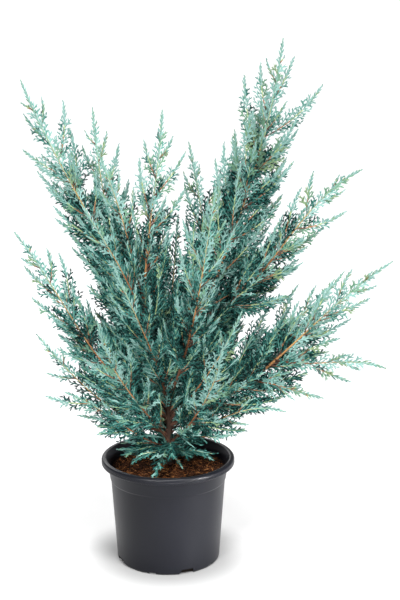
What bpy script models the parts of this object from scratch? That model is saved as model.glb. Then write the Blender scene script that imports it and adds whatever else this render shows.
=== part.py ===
"""A potted savin juniper: a five-litre nursery pot, its potting mix, a short trunk, the boughs
and one plume of foliage on each bough.

Metres, +Z up. The origin is the centre of the pot's flat underside and the front is towards -Y.
Run with blender --background --python part.py, or from the text editor.
"""

import math
import random
from typing import NamedTuple

import bmesh
import bpy
import numpy as np
from mathutils import Matrix, Vector

# Clear space kept between neighbouring solids
GAP = 0.0003

# The pot
POT_HEIGHT = 0.180
RIM_RADIUS = 0.1125
RIM_HEIGHT = 0.0105
RIM_ROUNDING = 0.0024
OPENING_RADIUS = 0.1044
LIP_SLOPE = 0.0010
COLLAR_TOP_RADIUS = 0.1020
COLLAR_FOOT_RADIUS = 0.0980
SHOULDER_HEIGHT = 0.142
SHOULDER_STEP = 0.0014
BASE_RADIUS = 0.0868
BASE_ROUNDING = 0.0025
WALL = 0.0018
FLOOR = 0.0025
POT_STEPS = 32

# Drain slots cut through the bottom edge, in degrees from the front, to the right
WIDE_SLOTS = (20.5, 110.5, 200.5, 290.5)
WIDE_SLOT_SIZE = (0.028, 0.009)
NARROW_SLOTS = (-18, 57, 162, 237)
NARROW_SLOT_SIZE = (0.013, 0.0035)
SLOT_DEPTH = 0.016
SLOT_BELOW = 0.004

# The potting mix
SOIL_EDGE = 0.160
SOIL_CROWN = 0.166
SOIL_CROWN_RADIUS = 0.020
SOIL_MIDDLE = 0.162
SOIL_MIDDLE_RADIUS = 0.062
SOIL_WALL_GAP = 0.0004

# The trunk
TRUNK_FOOT = SOIL_CROWN + GAP
TRUNK_TOP = 0.298
TRUNK_RADIUS = 0.0056
TRUNK_TIP_RADIUS = 0.0044
FLARE_RADIUS = 0.0095
FLARE_HEIGHT = 0.022
TRUNK_OFFSET = 0.001
TRUNK_CROOK = 0.0022
TRUNK_STATIONS = 9

# Limbs and plumes
TIP_RADIUS = 0.0007
LEAST_FOOT_RADIUS = 0.0010
GIRTH = 0.0046
LIMB_STATION = 0.040
TEST_STATION = 0.010
TRIM_STATION = 0.004
STATIONS = 48
SHOOT_SPACING = 0.0102
FIRST_SHOOT = 0.6
SHOOTS_PER_TWIG = 3
TRIED_LENGTHS = (1.0, 0.8, 0.6, 0.45)
LEAST_LENGTH_DRAWN = 0.84
TAPER = 0.160
SHORTEST_SHOOT = 0.028
SHOOT_LEAN = (20, 34)
SHOOT_TURN = math.radians(60)
SHOOT_JITTER = math.radians(48)
SPRAY_ROLL = math.radians(55)
TWIG_RADIUS = 0.0012
TWIG_TIP_RADIUS = 0.0007
TWIG_RADII = (TWIG_RADIUS, TWIG_TIP_RADIUS)
LEADER_SPRAY = 0.046
END_SPRAY = 0.074
END_SPRAY_SHARE = 0.6
TWIG_IN_SPRAY = 0.35
LEADER_IN_SPRAY = 0.3
SIDE_SPRAY_SPACING = 0.037
FIRST_SIDE_SPRAY = 0.0156
LAST_SIDE_SPRAY = 0.056
SIDE_SPRAY_SHARE = 0.75
SIDE_SPRAYS = (0.026, 0.068)
SPRAY_WIDTH = 0.40
SPRAY_THICKNESS = 0.07
SPRAY_WAIST = -0.25
SPRAY_LEAN = math.radians(34)
SPRAY_ROOT = 0.0005
CLEARANCE = 0.0012
TRUNK_ROOM = 0.013
POT_ROOM = 0.003


class Bough(NamedTuple):
    """One limb and its plume, as sizes that can be measured on the plant."""

    name: str
    carrier: str
    foot: float  # height up the trunk, or share of the way along another bough
    heading: float  # degrees, 0 to the right and 90 to the back
    reach: float  # outwards from foot to tip
    rise: float  # upwards from foot to tip
    leaves_at: float  # degrees above level where it leaves its carrier
    ends_at: float  # degrees above level at its tip
    sweep: float  # degrees that it swings sideways
    bare: float  # share of its length with no plume
    shoot: float  # its plume's longest side shoot


BOUGHS = (
    Bough("right_tall", "trunk", 0.292, 12, 0.193, 0.587, 64, 84, 12, 0.28, 0.142),
    Bough("centre", "trunk", 0.286, 240, 0.010, 0.484, 62, 84, -50, 0.38, 0.112),
    Bough("left_tall", "trunk", 0.270, 167, 0.245, 0.540, 80, 70, -12, 0.28, 0.116),
    Bough("left_inner", "trunk", 0.280, 134, 0.182, 0.475, 66, 60, 34, 0.26, 0.109),
    Bough("centre_back", "trunk", 0.274, 74, 0.125, 0.425, 40, 64, -44, 0.24, 0.106),
    Bough("front_centre", "trunk", 0.277, -54, 0.136, 0.387, 58, 74, 4, 0.20, 0.109),
    Bough("front_left", "trunk", 0.260, -127, 0.137, 0.277, 76, 64, 6, 0.20, 0.109),
    Bough("right_mid", "trunk", 0.236, -8, 0.366, 0.295, 19, 34, -2, 0.48, 0.109),
    Bough("right_inner", "trunk", 0.252, 22, 0.326, 0.222, 40, 52, 2, 0.26, 0.109),
    Bough("left_mid", "trunk", 0.246, -173, 0.250, 0.329, 28, 53, -1, 0.22, 0.113),
    Bough("left_low", "trunk", 0.221, 181, 0.221, 0.176, 13, 52, 6, 0.20, 0.101),
    Bough("back_left", "trunk", 0.264, 116, 0.225, 0.320, 44, 66, 8, 0.22, 0.118),
    Bough("back_right", "trunk", 0.258, 52, 0.235, 0.300, 40, 62, 6, 0.22, 0.118),
    Bough("back_middle", "trunk", 0.268, 84, 0.156, 0.300, 42, 74, 8, 0.22, 0.112),
    Bough("back_low_left", "trunk", 0.236, 143, 0.225, 0.190, 30, 48, 4, 0.20, 0.112),
    Bough("back_low", "trunk", 0.214, 94, 0.245, 0.170, 22, 46, -6, 0.20, 0.112),
    Bough("back_low_right", "trunk", 0.226, 38, 0.235, 0.120, 24, 30, 4, 0.20, 0.106),
    Bough("front_right", "trunk", 0.244, -38, 0.152, 0.217, 46, 64, 6, 0.20, 0.109),
    Bough("front_low_right", "trunk", 0.202, -62, 0.186, 0.218, 40, 62, 14, 0.16, 0.100),
    Bough("front_low_left", "trunk", 0.206, -124, 0.192, 0.256, 52, 72, -14, 0.16, 0.109),
    Bough("centre_left", "centre", 0.32, 190, 0.076, 0.268, 78, 66, -10, 0.12, 0.100),
    Bough("front_left_high", "centre", 0.25, 213, 0.120, 0.225, 70, 58, 14, 0.16, 0.100),
    Bough("right_upper", "right_tall", 0.22, -13, 0.268, 0.262, 20, 26, 2, 0.18, 0.109),
    Bough("right_low", "right_mid", 0.46, -24, 0.190, 0.008, -8, -18, -2, 0.12, 0.099),
    Bough("right_bottom", "right_mid", 0.34, -42, 0.155, 0.004, 14, 2, -4, 0.14, 0.094),
    Bough("left_bottom", "trunk", 0.194, -160, 0.182, 0.120, 20, 24, -4, 0.00, 0.087),
    Bough("right_floor", "trunk", 0.190, -15, 0.202, 0.085, 38, -14, 6, 0.00, 0.092),
    Bough("skirt_front", "trunk", 0.180, -66, 0.062, -0.004, 20, -34, 0, 0.0, 0.030),
    Bough("skirt_right", "trunk", 0.182, -28, 0.078, 0.012, 30, -20, 0, 0.0, 0.034),
    Bough("skirt_left", "trunk", 0.181, -138, 0.072, 0.014, 30, -16, 0, 0.0, 0.034),
    Bough("skirt_back", "trunk", 0.183, 96, 0.078, 0.018, 32, -8, 0, 0.0, 0.034),
)


# Materials

def principled(name, colour, roughness):
    """A plain Principled BSDF finish."""
    material = bpy.data.materials.new(name)
    material.use_nodes = True
    shader = material.node_tree.nodes["Principled BSDF"]
    shader.inputs["Base Color"].default_value = (*colour, 1.0)
    shader.inputs["Roughness"].default_value = roughness
    shader.inputs["Metallic"].default_value = 0.0
    material.diffuse_color = (*colour, 1.0)
    return material


SLATE_PLASTIC = (0.045, 0.047, 0.053)
BARK_FIBRE = (0.060, 0.024, 0.012)
TRUNK_BARK = (0.110, 0.055, 0.032)
BOUGH_BARK = (0.210, 0.090, 0.048)
BLUE_GREEN = (0.150, 0.290, 0.270)


# Collections, meshes and lines

def start_scene():
    """An empty scene with one collection for the plant and one for its cutters."""
    for item in list(bpy.data.objects):
        bpy.data.objects.remove(item, do_unlink=True)
    plant = bpy.data.collections.new("potted_savin_juniper")
    cutters = bpy.data.collections.new("cutters")
    bpy.context.scene.collection.children.link(plant)
    bpy.context.scene.collection.children.link(cutters)
    return plant, cutters


PLANT, CUTTERS = start_scene()


def add_object(name, data, collection=PLANT):
    """A new object in a collection, which for a cutter is hidden from view."""
    item = bpy.data.objects.new(name, data)
    collection.objects.link(item)
    if collection is CUTTERS:
        item.hide_render = True
        item.display_type = "WIRE"
    return item


def show(item):
    """A piece made among the cutters becomes one of the plant's."""
    CUTTERS.objects.unlink(item)
    PLANT.objects.link(item)
    item.hide_render = False
    item.display_type = "TEXTURED"


def apply_modifiers(item):
    """Its evaluated mesh becomes its own mesh."""
    graph = bpy.context.evaluated_depsgraph_get()
    mesh = bpy.data.meshes.new_from_object(item.evaluated_get(graph))
    item.modifiers.clear()
    old = item.data
    item.data = mesh
    bpy.data.meshes.remove(old)


def remove_object(item):
    """The object goes, and its mesh with it."""
    data = item.data
    bpy.data.objects.remove(item, do_unlink=True)
    bpy.data.meshes.remove(data)


def cut(item, cutter):
    """One Boolean difference, applied, after which the cutter is removed."""
    modifier = item.modifiers.new("Cut", "BOOLEAN")
    modifier.operation = "DIFFERENCE"
    modifier.object = cutter
    apply_modifiers(item)
    remove_object(cutter)


def islands(mesh):
    """The separate skins of a mesh, each as a list of its faces."""
    waiting = set(mesh.faces)
    while waiting:
        island = [waiting.pop()]
        for face in island:
            for edge in face.edges:
                for other in edge.link_faces:
                    if other in waiting:
                        waiting.remove(other)
                        island.append(other)
        yield island


def keep_largest_skin(item):
    """Drops loose scraps, and the inner skin of a sealed hollow, which fills it."""
    mesh = bmesh.new()
    mesh.from_mesh(item.data)
    found = sorted(islands(mesh), key=len)
    spare = {vert for island in found[:-1] for face in island for vert in face.verts}
    bmesh.ops.delete(mesh, geom=list(spare), context="VERTS")
    mesh.to_mesh(item.data)
    mesh.free()


def distances_along(line):
    """How far each station is from the line's start."""
    return np.concatenate([[0.0], np.cumsum(np.linalg.norm(np.diff(line, axis=0), axis=1))])


def walk(line, distance):
    """The place at a distance along a line."""
    along = distances_along(line)
    return Vector([np.interp(distance, along, line[:, axis]) for axis in range(3)])


def stretch(line, start, end, spacing):
    """Evenly spaced places on the line between two distances."""
    count = max(1, round((end - start) / spacing))
    return [walk(line, start + (end - start) * i / count) for i in range(count + 1)]


def distances_from(points, line):
    """How far each point is from a line."""
    starts = line[:-1]
    runs = line[1:] - starts
    share = ((points[:, None] - starts) * runs).sum(2) / (runs * runs).sum(1)
    nearest = starts + np.clip(share, 0.0, 1.0)[..., None] * runs
    return np.linalg.norm(points[:, None] - nearest, axis=2).min(1)


# The pot and its potting mix

def turned(name, profile, steps=POT_STEPS, collection=PLANT):
    """A solid of revolution from a profile that runs down its outer side."""
    mesh = bmesh.new()
    verts = [mesh.verts.new((radius, 0.0, height)) for radius, height in profile]
    for first, second in zip(verts, verts[1:]):
        mesh.edges.new((first, second))
    data = bpy.data.meshes.new(name)
    mesh.to_mesh(data)
    mesh.free()
    item = add_object(name, data, collection)
    screw = item.modifiers.new("Turn", "SCREW")
    screw.steps = steps
    screw.render_steps = steps
    screw.use_merge_vertices = True
    screw.merge_threshold = 0.00005
    screw.use_smooth_shade = True
    apply_modifiers(item)
    return item


def inner_radius(height):
    """The radius of the pot's inner wall, which follows the outer one."""
    collar_foot = COLLAR_FOOT_RADIUS - SHOULDER_STEP
    if height > SHOULDER_HEIGHT:
        share = (height - SHOULDER_HEIGHT) / (POT_HEIGHT - RIM_HEIGHT - SHOULDER_HEIGHT)
        return COLLAR_FOOT_RADIUS + (COLLAR_TOP_RADIUS - COLLAR_FOOT_RADIUS) * share - WALL - SHOULDER_STEP
    return BASE_RADIUS + (collar_foot - BASE_RADIUS) * height / SHOULDER_HEIGHT - WALL


def make_pot():
    """The thrown-out rim, stepped collar, tapering wall and flat floor of a moulded pot."""
    under_rim = POT_HEIGHT - RIM_HEIGHT
    edge = RIM_ROUNDING
    profile = (
        (0.0, FLOOR),
        (inner_radius(FLOOR), FLOOR),
        (inner_radius(SHOULDER_HEIGHT), SHOULDER_HEIGHT),
        (inner_radius(under_rim), under_rim),
        (OPENING_RADIUS - LIP_SLOPE, POT_HEIGHT - edge),
        (OPENING_RADIUS + LIP_SLOPE, POT_HEIGHT),
        (RIM_RADIUS - edge, POT_HEIGHT),
        (RIM_RADIUS, POT_HEIGHT - edge),
        (RIM_RADIUS, under_rim + edge),
        (RIM_RADIUS - edge, under_rim),
        (COLLAR_TOP_RADIUS, under_rim),
        (COLLAR_FOOT_RADIUS, SHOULDER_HEIGHT + SHOULDER_STEP),
        (COLLAR_FOOT_RADIUS - SHOULDER_STEP, SHOULDER_HEIGHT),
        (BASE_RADIUS, BASE_ROUNDING),
        (BASE_RADIUS - BASE_ROUNDING, 0.0),
        (0.0, 0.0),
    )
    pot = turned("pot", profile)
    for angles, (width, height) in ((WIDE_SLOTS, WIDE_SLOT_SIZE), (NARROW_SLOTS, NARROW_SLOT_SIZE)):
        for angle in angles:
            cut(pot, slot_cutter(angle, width, height))
    pot.data.shade_smooth()
    pot.data.set_sharp_from_angle(angle=math.radians(30))
    pot.data.materials.append(principled("slate_plastic", SLATE_PLASTIC, 0.45))
    return pot


def slot_cutter(angle, width, height):
    """A box across the pot's bottom edge, as deep as a drain slot."""
    bpy.ops.mesh.primitive_cube_add(size=1.0)
    box = bpy.context.active_object
    for holder in list(box.users_collection):
        holder.objects.unlink(box)
    CUTTERS.objects.link(box)
    box.name = "slot_cutter"
    box.hide_render = True
    box.display_type = "WIRE"
    size = Matrix.Diagonal((width, SLOT_DEPTH, height + SLOT_BELOW, 1.0))
    place = Matrix.Translation((0.0, -BASE_RADIUS, (height - SLOT_BELOW) / 2))
    box.data.transform(Matrix.Rotation(math.radians(angle), 4, "Z") @ place @ size)
    return box


def make_soil():
    """The potting mix, which fills the pot to below the rim and rises a little to the trunk."""
    foot = FLOOR + GAP
    profile = (
        (0.0, SOIL_CROWN),
        (SOIL_CROWN_RADIUS, SOIL_CROWN),
        (SOIL_MIDDLE_RADIUS, SOIL_MIDDLE),
        (inner_radius(SOIL_EDGE) - SOIL_WALL_GAP, SOIL_EDGE),
        (inner_radius(SHOULDER_HEIGHT) - SOIL_WALL_GAP, SHOULDER_HEIGHT),
        (inner_radius(foot) - SOIL_WALL_GAP, foot),
        (0.0, foot),
    )
    soil = turned("potting_mix", profile)
    soil.data.materials.append(principled("bark_fibre", BARK_FIBRE, 0.95))
    return soil


# Limbs

def triangle_section():
    """The three-sided section that twigs are drawn with, as a guide."""
    curve = bpy.data.curves.new("twig_section", "CURVE")
    curve.dimensions = "2D"
    spline = curve.splines.new("POLY")
    spline.points.add(2)
    for i, point in enumerate(spline.points):
        turn = math.tau * i / 3
        point.co = (math.cos(turn), math.sin(turn), 0.0, 1.0)
    spline.use_cyclic_u = True
    return add_object("twig_section", curve, CUTTERS)


TWIG_SECTION = triangle_section()


def tube(name, places, radii, section=None, resolution=1, collection=PLANT):
    """A tapering limb through the places given, as a closed mesh."""
    curve = bpy.data.curves.new(name, "CURVE")
    curve.dimensions = "3D"
    curve.use_fill_caps = True
    if section is None:
        curve.bevel_depth = 1.0
        curve.bevel_resolution = resolution
    else:
        curve.bevel_mode = "OBJECT"
        curve.bevel_object = section
    spline = curve.splines.new("POLY")
    spline.points.add(len(places) - 1)
    for point, place, radius in zip(spline.points, places, radii):
        point.co = (*place, 1.0)
        point.radius = radius
    guide = add_object(name + "_line", curve, CUTTERS)
    graph = bpy.context.evaluated_depsgraph_get()
    data = bpy.data.meshes.new_from_object(guide.evaluated_get(graph))
    mesh = bmesh.new()
    mesh.from_mesh(data)
    bmesh.ops.remove_doubles(mesh, verts=mesh.verts, dist=0.00001)
    bmesh.ops.recalc_face_normals(mesh, faces=mesh.faces)
    mesh.to_mesh(data)
    mesh.free()
    item = add_object(name, data, collection)
    item.matrix_world = guide.matrix_world
    bpy.data.objects.remove(guide, do_unlink=True)
    bpy.data.curves.remove(curve)
    return item


def trunk_line():
    """The trunk's centre line, with its slight crook."""
    heights = np.linspace(TRUNK_FOOT, TRUNK_TOP, TRUNK_STATIONS)
    share = np.clip((heights - heights[1]) / (heights[-1] - heights[1]), 0.0, 1.0)
    side = TRUNK_OFFSET + TRUNK_CROOK * np.sin(share * math.pi * 1.5)
    back = -0.6 * TRUNK_CROOK * np.sin(share * math.pi)
    return np.stack([side, back, heights], axis=1)


def trunk_radius(height):
    """Tapering upwards, and flared where the roots begin."""
    share = (height - TRUNK_FOOT) / (TRUNK_TOP - TRUNK_FOOT)
    plain = TRUNK_RADIUS + (TRUNK_TIP_RADIUS - TRUNK_RADIUS) * share
    flare = max(0.0, 1.0 - (height - TRUNK_FOOT) / FLARE_HEIGHT)
    return plain + (FLARE_RADIUS - TRUNK_RADIUS) * flare * flare


def heading_vector(heading, climb):
    """The unit vector for a compass heading and an angle above level, in degrees."""
    turn = math.radians(heading)
    lift = math.radians(climb)
    return Vector((math.cos(lift) * math.cos(turn), math.cos(lift) * math.sin(turn), math.sin(lift)))


def bough_line(bough, foot):
    """A smooth line from foot to tip that leaves and ends at the bough's own angles."""
    turn = math.radians(bough.heading)
    tip = foot + Vector((bough.reach * math.cos(turn), bough.reach * math.sin(turn), bough.rise))
    hold = (tip - foot).length / 3
    out = foot + hold * heading_vector(bough.heading + bough.sweep, bough.leaves_at)
    back = tip - hold * heading_vector(bough.heading - bough.sweep, bough.ends_at)
    share = np.linspace(0.0, 1.0, STATIONS + 1)[:, None]
    rest = 1.0 - share
    ends = rest**3 * np.array(foot) + share**3 * np.array(tip)
    return ends + 3 * rest * rest * share * np.array(out) + 3 * rest * share * share * np.array(back)


def limb_radius(length, distance):
    """A bough's radius, thick at the foot of a long bough and thin at any tip."""
    foot_radius = LEAST_FOOT_RADIUS + GIRTH * length
    return foot_radius + (TIP_RADIUS - foot_radius) * distance / length


TRUNK_LINE = trunk_line()
LINES = {}
LENGTHS = {}
for bough in BOUGHS:
    if bough.carrier == "trunk":
        foot = walk(TRUNK_LINE, bough.foot - TRUNK_FOOT)
    else:
        foot = walk(LINES[bough.carrier], bough.foot * LENGTHS[bough.carrier])
    LINES[bough.name] = bough_line(bough, foot)
    LENGTHS[bough.name] = float(distances_along(LINES[bough.name])[-1])


def fattened(name, start, end, extra, resolution=1):
    """A copy of a limb that is thicker by extra, to cut its neighbours clear of it."""
    line = LINES[name]
    length = LENGTHS[name]
    places = stretch(line, start, end, LIMB_STATION)
    spacing = (end - start) / (len(places) - 1)
    radii = [limb_radius(length, start + i * spacing) + extra for i in range(len(places))]
    return tube("cutter_" + name, places, radii, resolution=resolution, collection=CUTTERS)


def fattened_trunk(extra):
    """A copy of the trunk that is thicker by extra."""
    places = [Vector(place) for place in TRUNK_LINE]
    radii = [trunk_radius(place.z) + extra for place in places]
    places[0].z -= extra
    places[-1].z += extra
    return tube("cutter_trunk", places, radii, resolution=2, collection=CUTTERS)


def make_trunk():
    """One stem from its flat cut on the potting mix, through the root flare, to the fork."""
    trunk = tube("trunk", TRUNK_LINE, [trunk_radius(place[2]) for place in TRUNK_LINE], resolution=2)
    trunk.data.shade_smooth()
    trunk.data.materials.append(principled("trunk_bark", TRUNK_BARK, 0.9))
    return trunk


def bare_length(bough):
    return bough.bare * LENGTHS[bough.name]


BOUGH_BARK_FINISH = principled("bough_bark", BOUGH_BARK, 0.85)


def trim_to_neighbours(item, bough):
    """Cuts a limb's foot to fit its carrier and any limb made before it that it would touch."""
    if bough.carrier == "trunk":
        cut(item, fattened_trunk(GAP))
    else:
        cut(item, fattened(bough.carrier, 0.0, bare_length(BY_NAME[bough.carrier]), GAP))
    own = np.array(stretch(LINES[bough.name], 0.0, bare_length(bough), TRIM_STATION))
    thick = limb_radius(LENGTHS[bough.name], 0.0)
    for other in BOUGHS[:BOUGHS.index(bough)]:
        if other.name == bough.carrier or other.bare == 0.0:
            continue
        near = np.array(stretch(LINES[other.name], 0.0, bare_length(other), TRIM_STATION))
        room = thick + limb_radius(LENGTHS[other.name], 0.0) + 2 * GAP
        if distances_from(own, near).min() < room:
            cut(item, fattened(other.name, 0.0, bare_length(other), GAP))
    keep_largest_skin(item)


BY_NAME = {bough.name: bough for bough in BOUGHS}


def make_bough(bough):
    """One tapering limb, from its carrier to where its plume begins."""
    item = fattened(bough.name, 0.0, bare_length(bough), 0.0)
    item.name = "bough_" + bough.name
    show(item)
    trim_to_neighbours(item, bough)
    item.data.shade_smooth()
    item.data.materials.append(BOUGH_BARK_FINISH)
    return item


# Plumes of foliage

def plume_start(bough):
    """How far along its line a plume begins, clear of the trunk where it has no bough."""
    return bare_length(bough) if bough.bare > 0.0 else TRUNK_ROOM


def plume_line(bough):
    """The stations of a bough's line that its plume stands on."""
    return np.array(stretch(LINES[bough.name], plume_start(bough), LENGTHS[bough.name], TEST_STATION))


PLUME_LINES = {bough.name: plume_line(bough) for bough in BOUGHS}
BARE_LINES = {
    bough.name: np.array(stretch(LINES[bough.name], 0.0, bare_length(bough), TEST_STATION))
    for bough in BOUGHS if bough.bare > 0.0
}


def in_own_space(name, points, room):
    """Whether all the points are nearer to the plume's own stem than to any other, by some room."""
    own = distances_from(points, PLUME_LINES[name]) + room
    return all((own < distances_from(points, line)).all()
               for other, line in PLUME_LINES.items() if other != name)


def clear_of_limbs(points, room):
    """Whether the points keep off the trunk and every bough."""
    if distances_from(points, TRUNK_LINE).min() < FLARE_RADIUS + room:
        return False
    for name, line in BARE_LINES.items():
        thick = limb_radius(LENGTHS[name], 0.0)
        if distances_from(points, line).min() < thick + room:
            return False
    return True


def clear_of_pot(points, room):
    """Whether the points keep off the rim, inside or above it, and off the potting mix."""
    radius = np.hypot(points[:, 0], points[:, 1])
    inside = (radius < inner_radius(SOIL_EDGE) - POT_ROOM - room) & (points[:, 2] > SOIL_CROWN + room)
    return bool((inside | (points[:, 2] > POT_HEIGHT + room)).all())


def fits(name, points, room):
    """Whether a twig or spray through these points keeps to its plume's space."""
    points = np.array(points)
    return clear_of_pot(points, room) and clear_of_limbs(points, room) and in_own_space(name, points, room)


def stem_frame(bough, distance):
    """The stem's place and direction there, with one direction across the front view and one to the back."""
    line = LINES[bough.name]
    place = walk(line, distance)
    ahead = (walk(line, distance + 0.004) - walk(line, distance - 0.004)).normalized()
    side = ahead.cross(Vector((0.0, 1.0, 0.0))).normalized()
    return place, ahead, side, side.cross(ahead)


class Shoot(NamedTuple):
    """One side shoot of a plume."""

    root: Vector
    tip: Vector
    across: Vector  # square to the shoot, in the plane that its sprays spread in

    def size(self):
        return (self.tip - self.root).length

    def at(self, distance):
        """The place at a distance along it."""
        return self.root.lerp(self.tip, distance / self.size())


def shoot_count(bough):
    """How many side shoots a plume has at full detail."""
    return int((LENGTHS[bough.name] - plume_start(bough) - SHORTEST_SHOOT) / SHOOT_SPACING)


def side_shoot(bough, k, shorter=1.0):
    """Side shoot k of a plume: it leans forward and is longer the further it is from the tip."""
    draw = random.Random(f"{bough.name} shoot {k}")
    distance = plume_start(bough) + (k + FIRST_SHOOT) * SHOOT_SPACING
    place, ahead, side, back = stem_frame(bough, distance)
    turn = k * SHOOT_TURN + draw.uniform(-SHOOT_JITTER, SHOOT_JITTER)
    lean = math.radians(draw.uniform(*SHOOT_LEAN))
    out = math.cos(turn) * side + math.sin(turn) * back
    left = LENGTHS[bough.name] - distance
    size = bough.shoot * min(left / TAPER, 1.0) * draw.uniform(LEAST_LENGTH_DRAWN, 1.0)
    size = max(size, SHORTEST_SHOOT) * shorter
    run = math.cos(lean) * ahead + math.sin(lean) * out
    roll = draw.uniform(-SPRAY_ROLL, SPRAY_ROLL)
    across = Matrix.Rotation(roll, 3, run) @ run.cross(back).normalized()
    return Shoot(place, place + size * run, across)


def spray(name, root, tip, across):
    """A spray of scale leaves as one pointed blade with eight faces, widest near its root."""
    length = (tip - root).length
    ahead = (tip - root) / length
    across = (across - across.dot(ahead) * ahead).normalized()
    facing = ahead.cross(across)
    mesh = bmesh.new()
    bmesh.ops.create_uvsphere(mesh, u_segments=4, v_segments=2, radius=1.0)
    for vert in mesh.verts:
        if abs(vert.co.z) < 0.5:
            vert.co.z = SPRAY_WAIST
    columns = (across * SPRAY_WIDTH * length / 2, facing * SPRAY_THICKNESS * length / 2, ahead * length / 2)
    turn = Matrix(columns).transposed().to_4x4()
    bmesh.ops.transform(mesh, matrix=Matrix.Translation((root + tip) / 2) @ turn, verts=mesh.verts)
    bmesh.ops.recalc_face_normals(mesh, faces=mesh.faces)
    points = [vert.co.copy() for vert in mesh.verts]
    data = bpy.data.meshes.new(name)
    mesh.to_mesh(data)
    mesh.free()
    points += [(point + tip) / 2 for point in points]
    points += [(point + root) / 2 for point in points[:6]]
    return data, points


def end_spray_length(shoot):
    return min(END_SPRAY, END_SPRAY_SHARE * shoot.size())


def end_spray(shoot):
    """The root and tip of the spray that ends a side shoot."""
    return shoot.at(shoot.size() - end_spray_length(shoot)), shoot.tip


def side_sprays(shoot, way):
    """The roots and tips of a side shoot's other sprays, by turns on either side of it."""
    size = shoot.size()
    ahead = (shoot.tip - shoot.root) / size
    smallest, largest = SIDE_SPRAYS
    distance = FIRST_SIDE_SPRAY
    while size - distance > LAST_SIDE_SPRAY:
        lean = math.cos(SPRAY_LEAN) * ahead + way * math.sin(SPRAY_LEAN) * shoot.across
        length = min(max(SIDE_SPRAY_SHARE * (size - distance), smallest), largest)
        root = shoot.at(distance)
        yield root - SPRAY_ROOT * lean, root + length * lean
        distance += SIDE_SPRAY_SPACING
        way = -way


def plume_shoot(bough, k):
    """Side shoot k at the greatest length that fits the plume's space, or None."""
    for shorter in TRIED_LENGTHS:
        shoot = side_shoot(bough, k, shorter)
        data, points = spray("end_spray", *end_spray(shoot), shoot.across)
        points += [shoot.at(share * shoot.size()) for share in (0.1, 0.25, 0.4, 0.55)]
        if fits(bough.name, points, CLEARANCE):
            return shoot, data
        bpy.data.meshes.remove(data)
    return None, None


def make_stem(bough):
    """The plume's stem, which goes on from its bough's tip, or from the trunk."""
    start = bare_length(bough) + GAP if bough.bare > 0.0 else 0.0
    end = LENGTHS[bough.name] - (1.0 - LEADER_IN_SPRAY) * LEADER_SPRAY
    stem = fattened(bough.name, start, end, 0.0, resolution=0)
    stem.name = "foliage_" + bough.name
    show(stem)
    if bough.bare == 0.0:
        cut(stem, fattened_trunk(GAP))
        keep_largest_skin(stem)
    return stem


def make_plume(bough):
    """A plume: its stem, side shoots and sprays, fused into one solid."""
    line = LINES[bough.name]
    length = LENGTHS[bough.name]
    stem = make_stem(bough)
    group = bpy.data.collections.new("pieces_of_" + stem.name)
    bpy.context.scene.collection.children.link(group)
    side = stem_frame(bough, length - LEADER_SPRAY)[2]
    data, _ = spray("leader_spray", walk(line, length - LEADER_SPRAY), walk(line, length), side)
    add_object("leader_spray", data, group)
    for k in range(0, shoot_count(bough), SHOOTS_PER_TWIG):
        shoot, data = plume_shoot(bough, k)
        if shoot is None:
            continue
        add_object("end_spray", data, group)
        end = shoot.size() - (1.0 - TWIG_IN_SPRAY) * end_spray_length(shoot)
        tube("twig", [shoot.root, shoot.at(end)], TWIG_RADII, section=TWIG_SECTION, collection=group)
        for root, tip in side_sprays(shoot, 1 if k % 2 else -1):
            data, points = spray("side_spray", root, tip, shoot.across)
            if fits(bough.name, points, CLEARANCE):
                add_object("side_spray", data, group)
            else:
                bpy.data.meshes.remove(data)
    count = len(group.objects)
    fuse(stem, group)
    stem.data.materials.clear()
    stem.data.materials.append(FOLIAGE_FINISH)
    return stem, count


def fuse(body, group):
    """One Boolean union of a body with a collection of overlapping pieces, which are then removed."""
    modifier = body.modifiers.new("Fuse", "BOOLEAN")
    modifier.operation = "UNION"
    modifier.operand_type = "COLLECTION"
    modifier.collection = group
    modifier.solver = "MANIFOLD"
    apply_modifiers(body)
    for piece in list(group.objects):
        remove_object(piece)
    bpy.data.collections.remove(group)
    keep_largest_skin(body)


FOLIAGE_FINISH = principled("blue_green_scale_leaves", BLUE_GREEN, 0.8)

make_pot()
make_soil()
make_trunk()
for bough in BOUGHS:
    if bough.bare > 0.0:
        make_bough(bough)
for bough in BOUGHS:
    plume, spray_count = make_plume(bough)
    triangles = sum(len(face.vertices) - 2 for face in plume.data.polygons)
    print(plume.name, spray_count, "sprays", triangles, "triangles")
bpy.data.objects.remove(TWIG_SECTION, do_unlink=True)
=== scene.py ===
# %% [markdown]
# # A potted savin juniper, twig by twig
# This lesson dresses a plain model of a young juniper in its nursery pot. The plain model is loaded first and stays
# fixed: it says where the pot, the trunk, every bough and every mass of foliage are. Each of them is then replaced
# by a finer piece that keeps to the same place.

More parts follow.
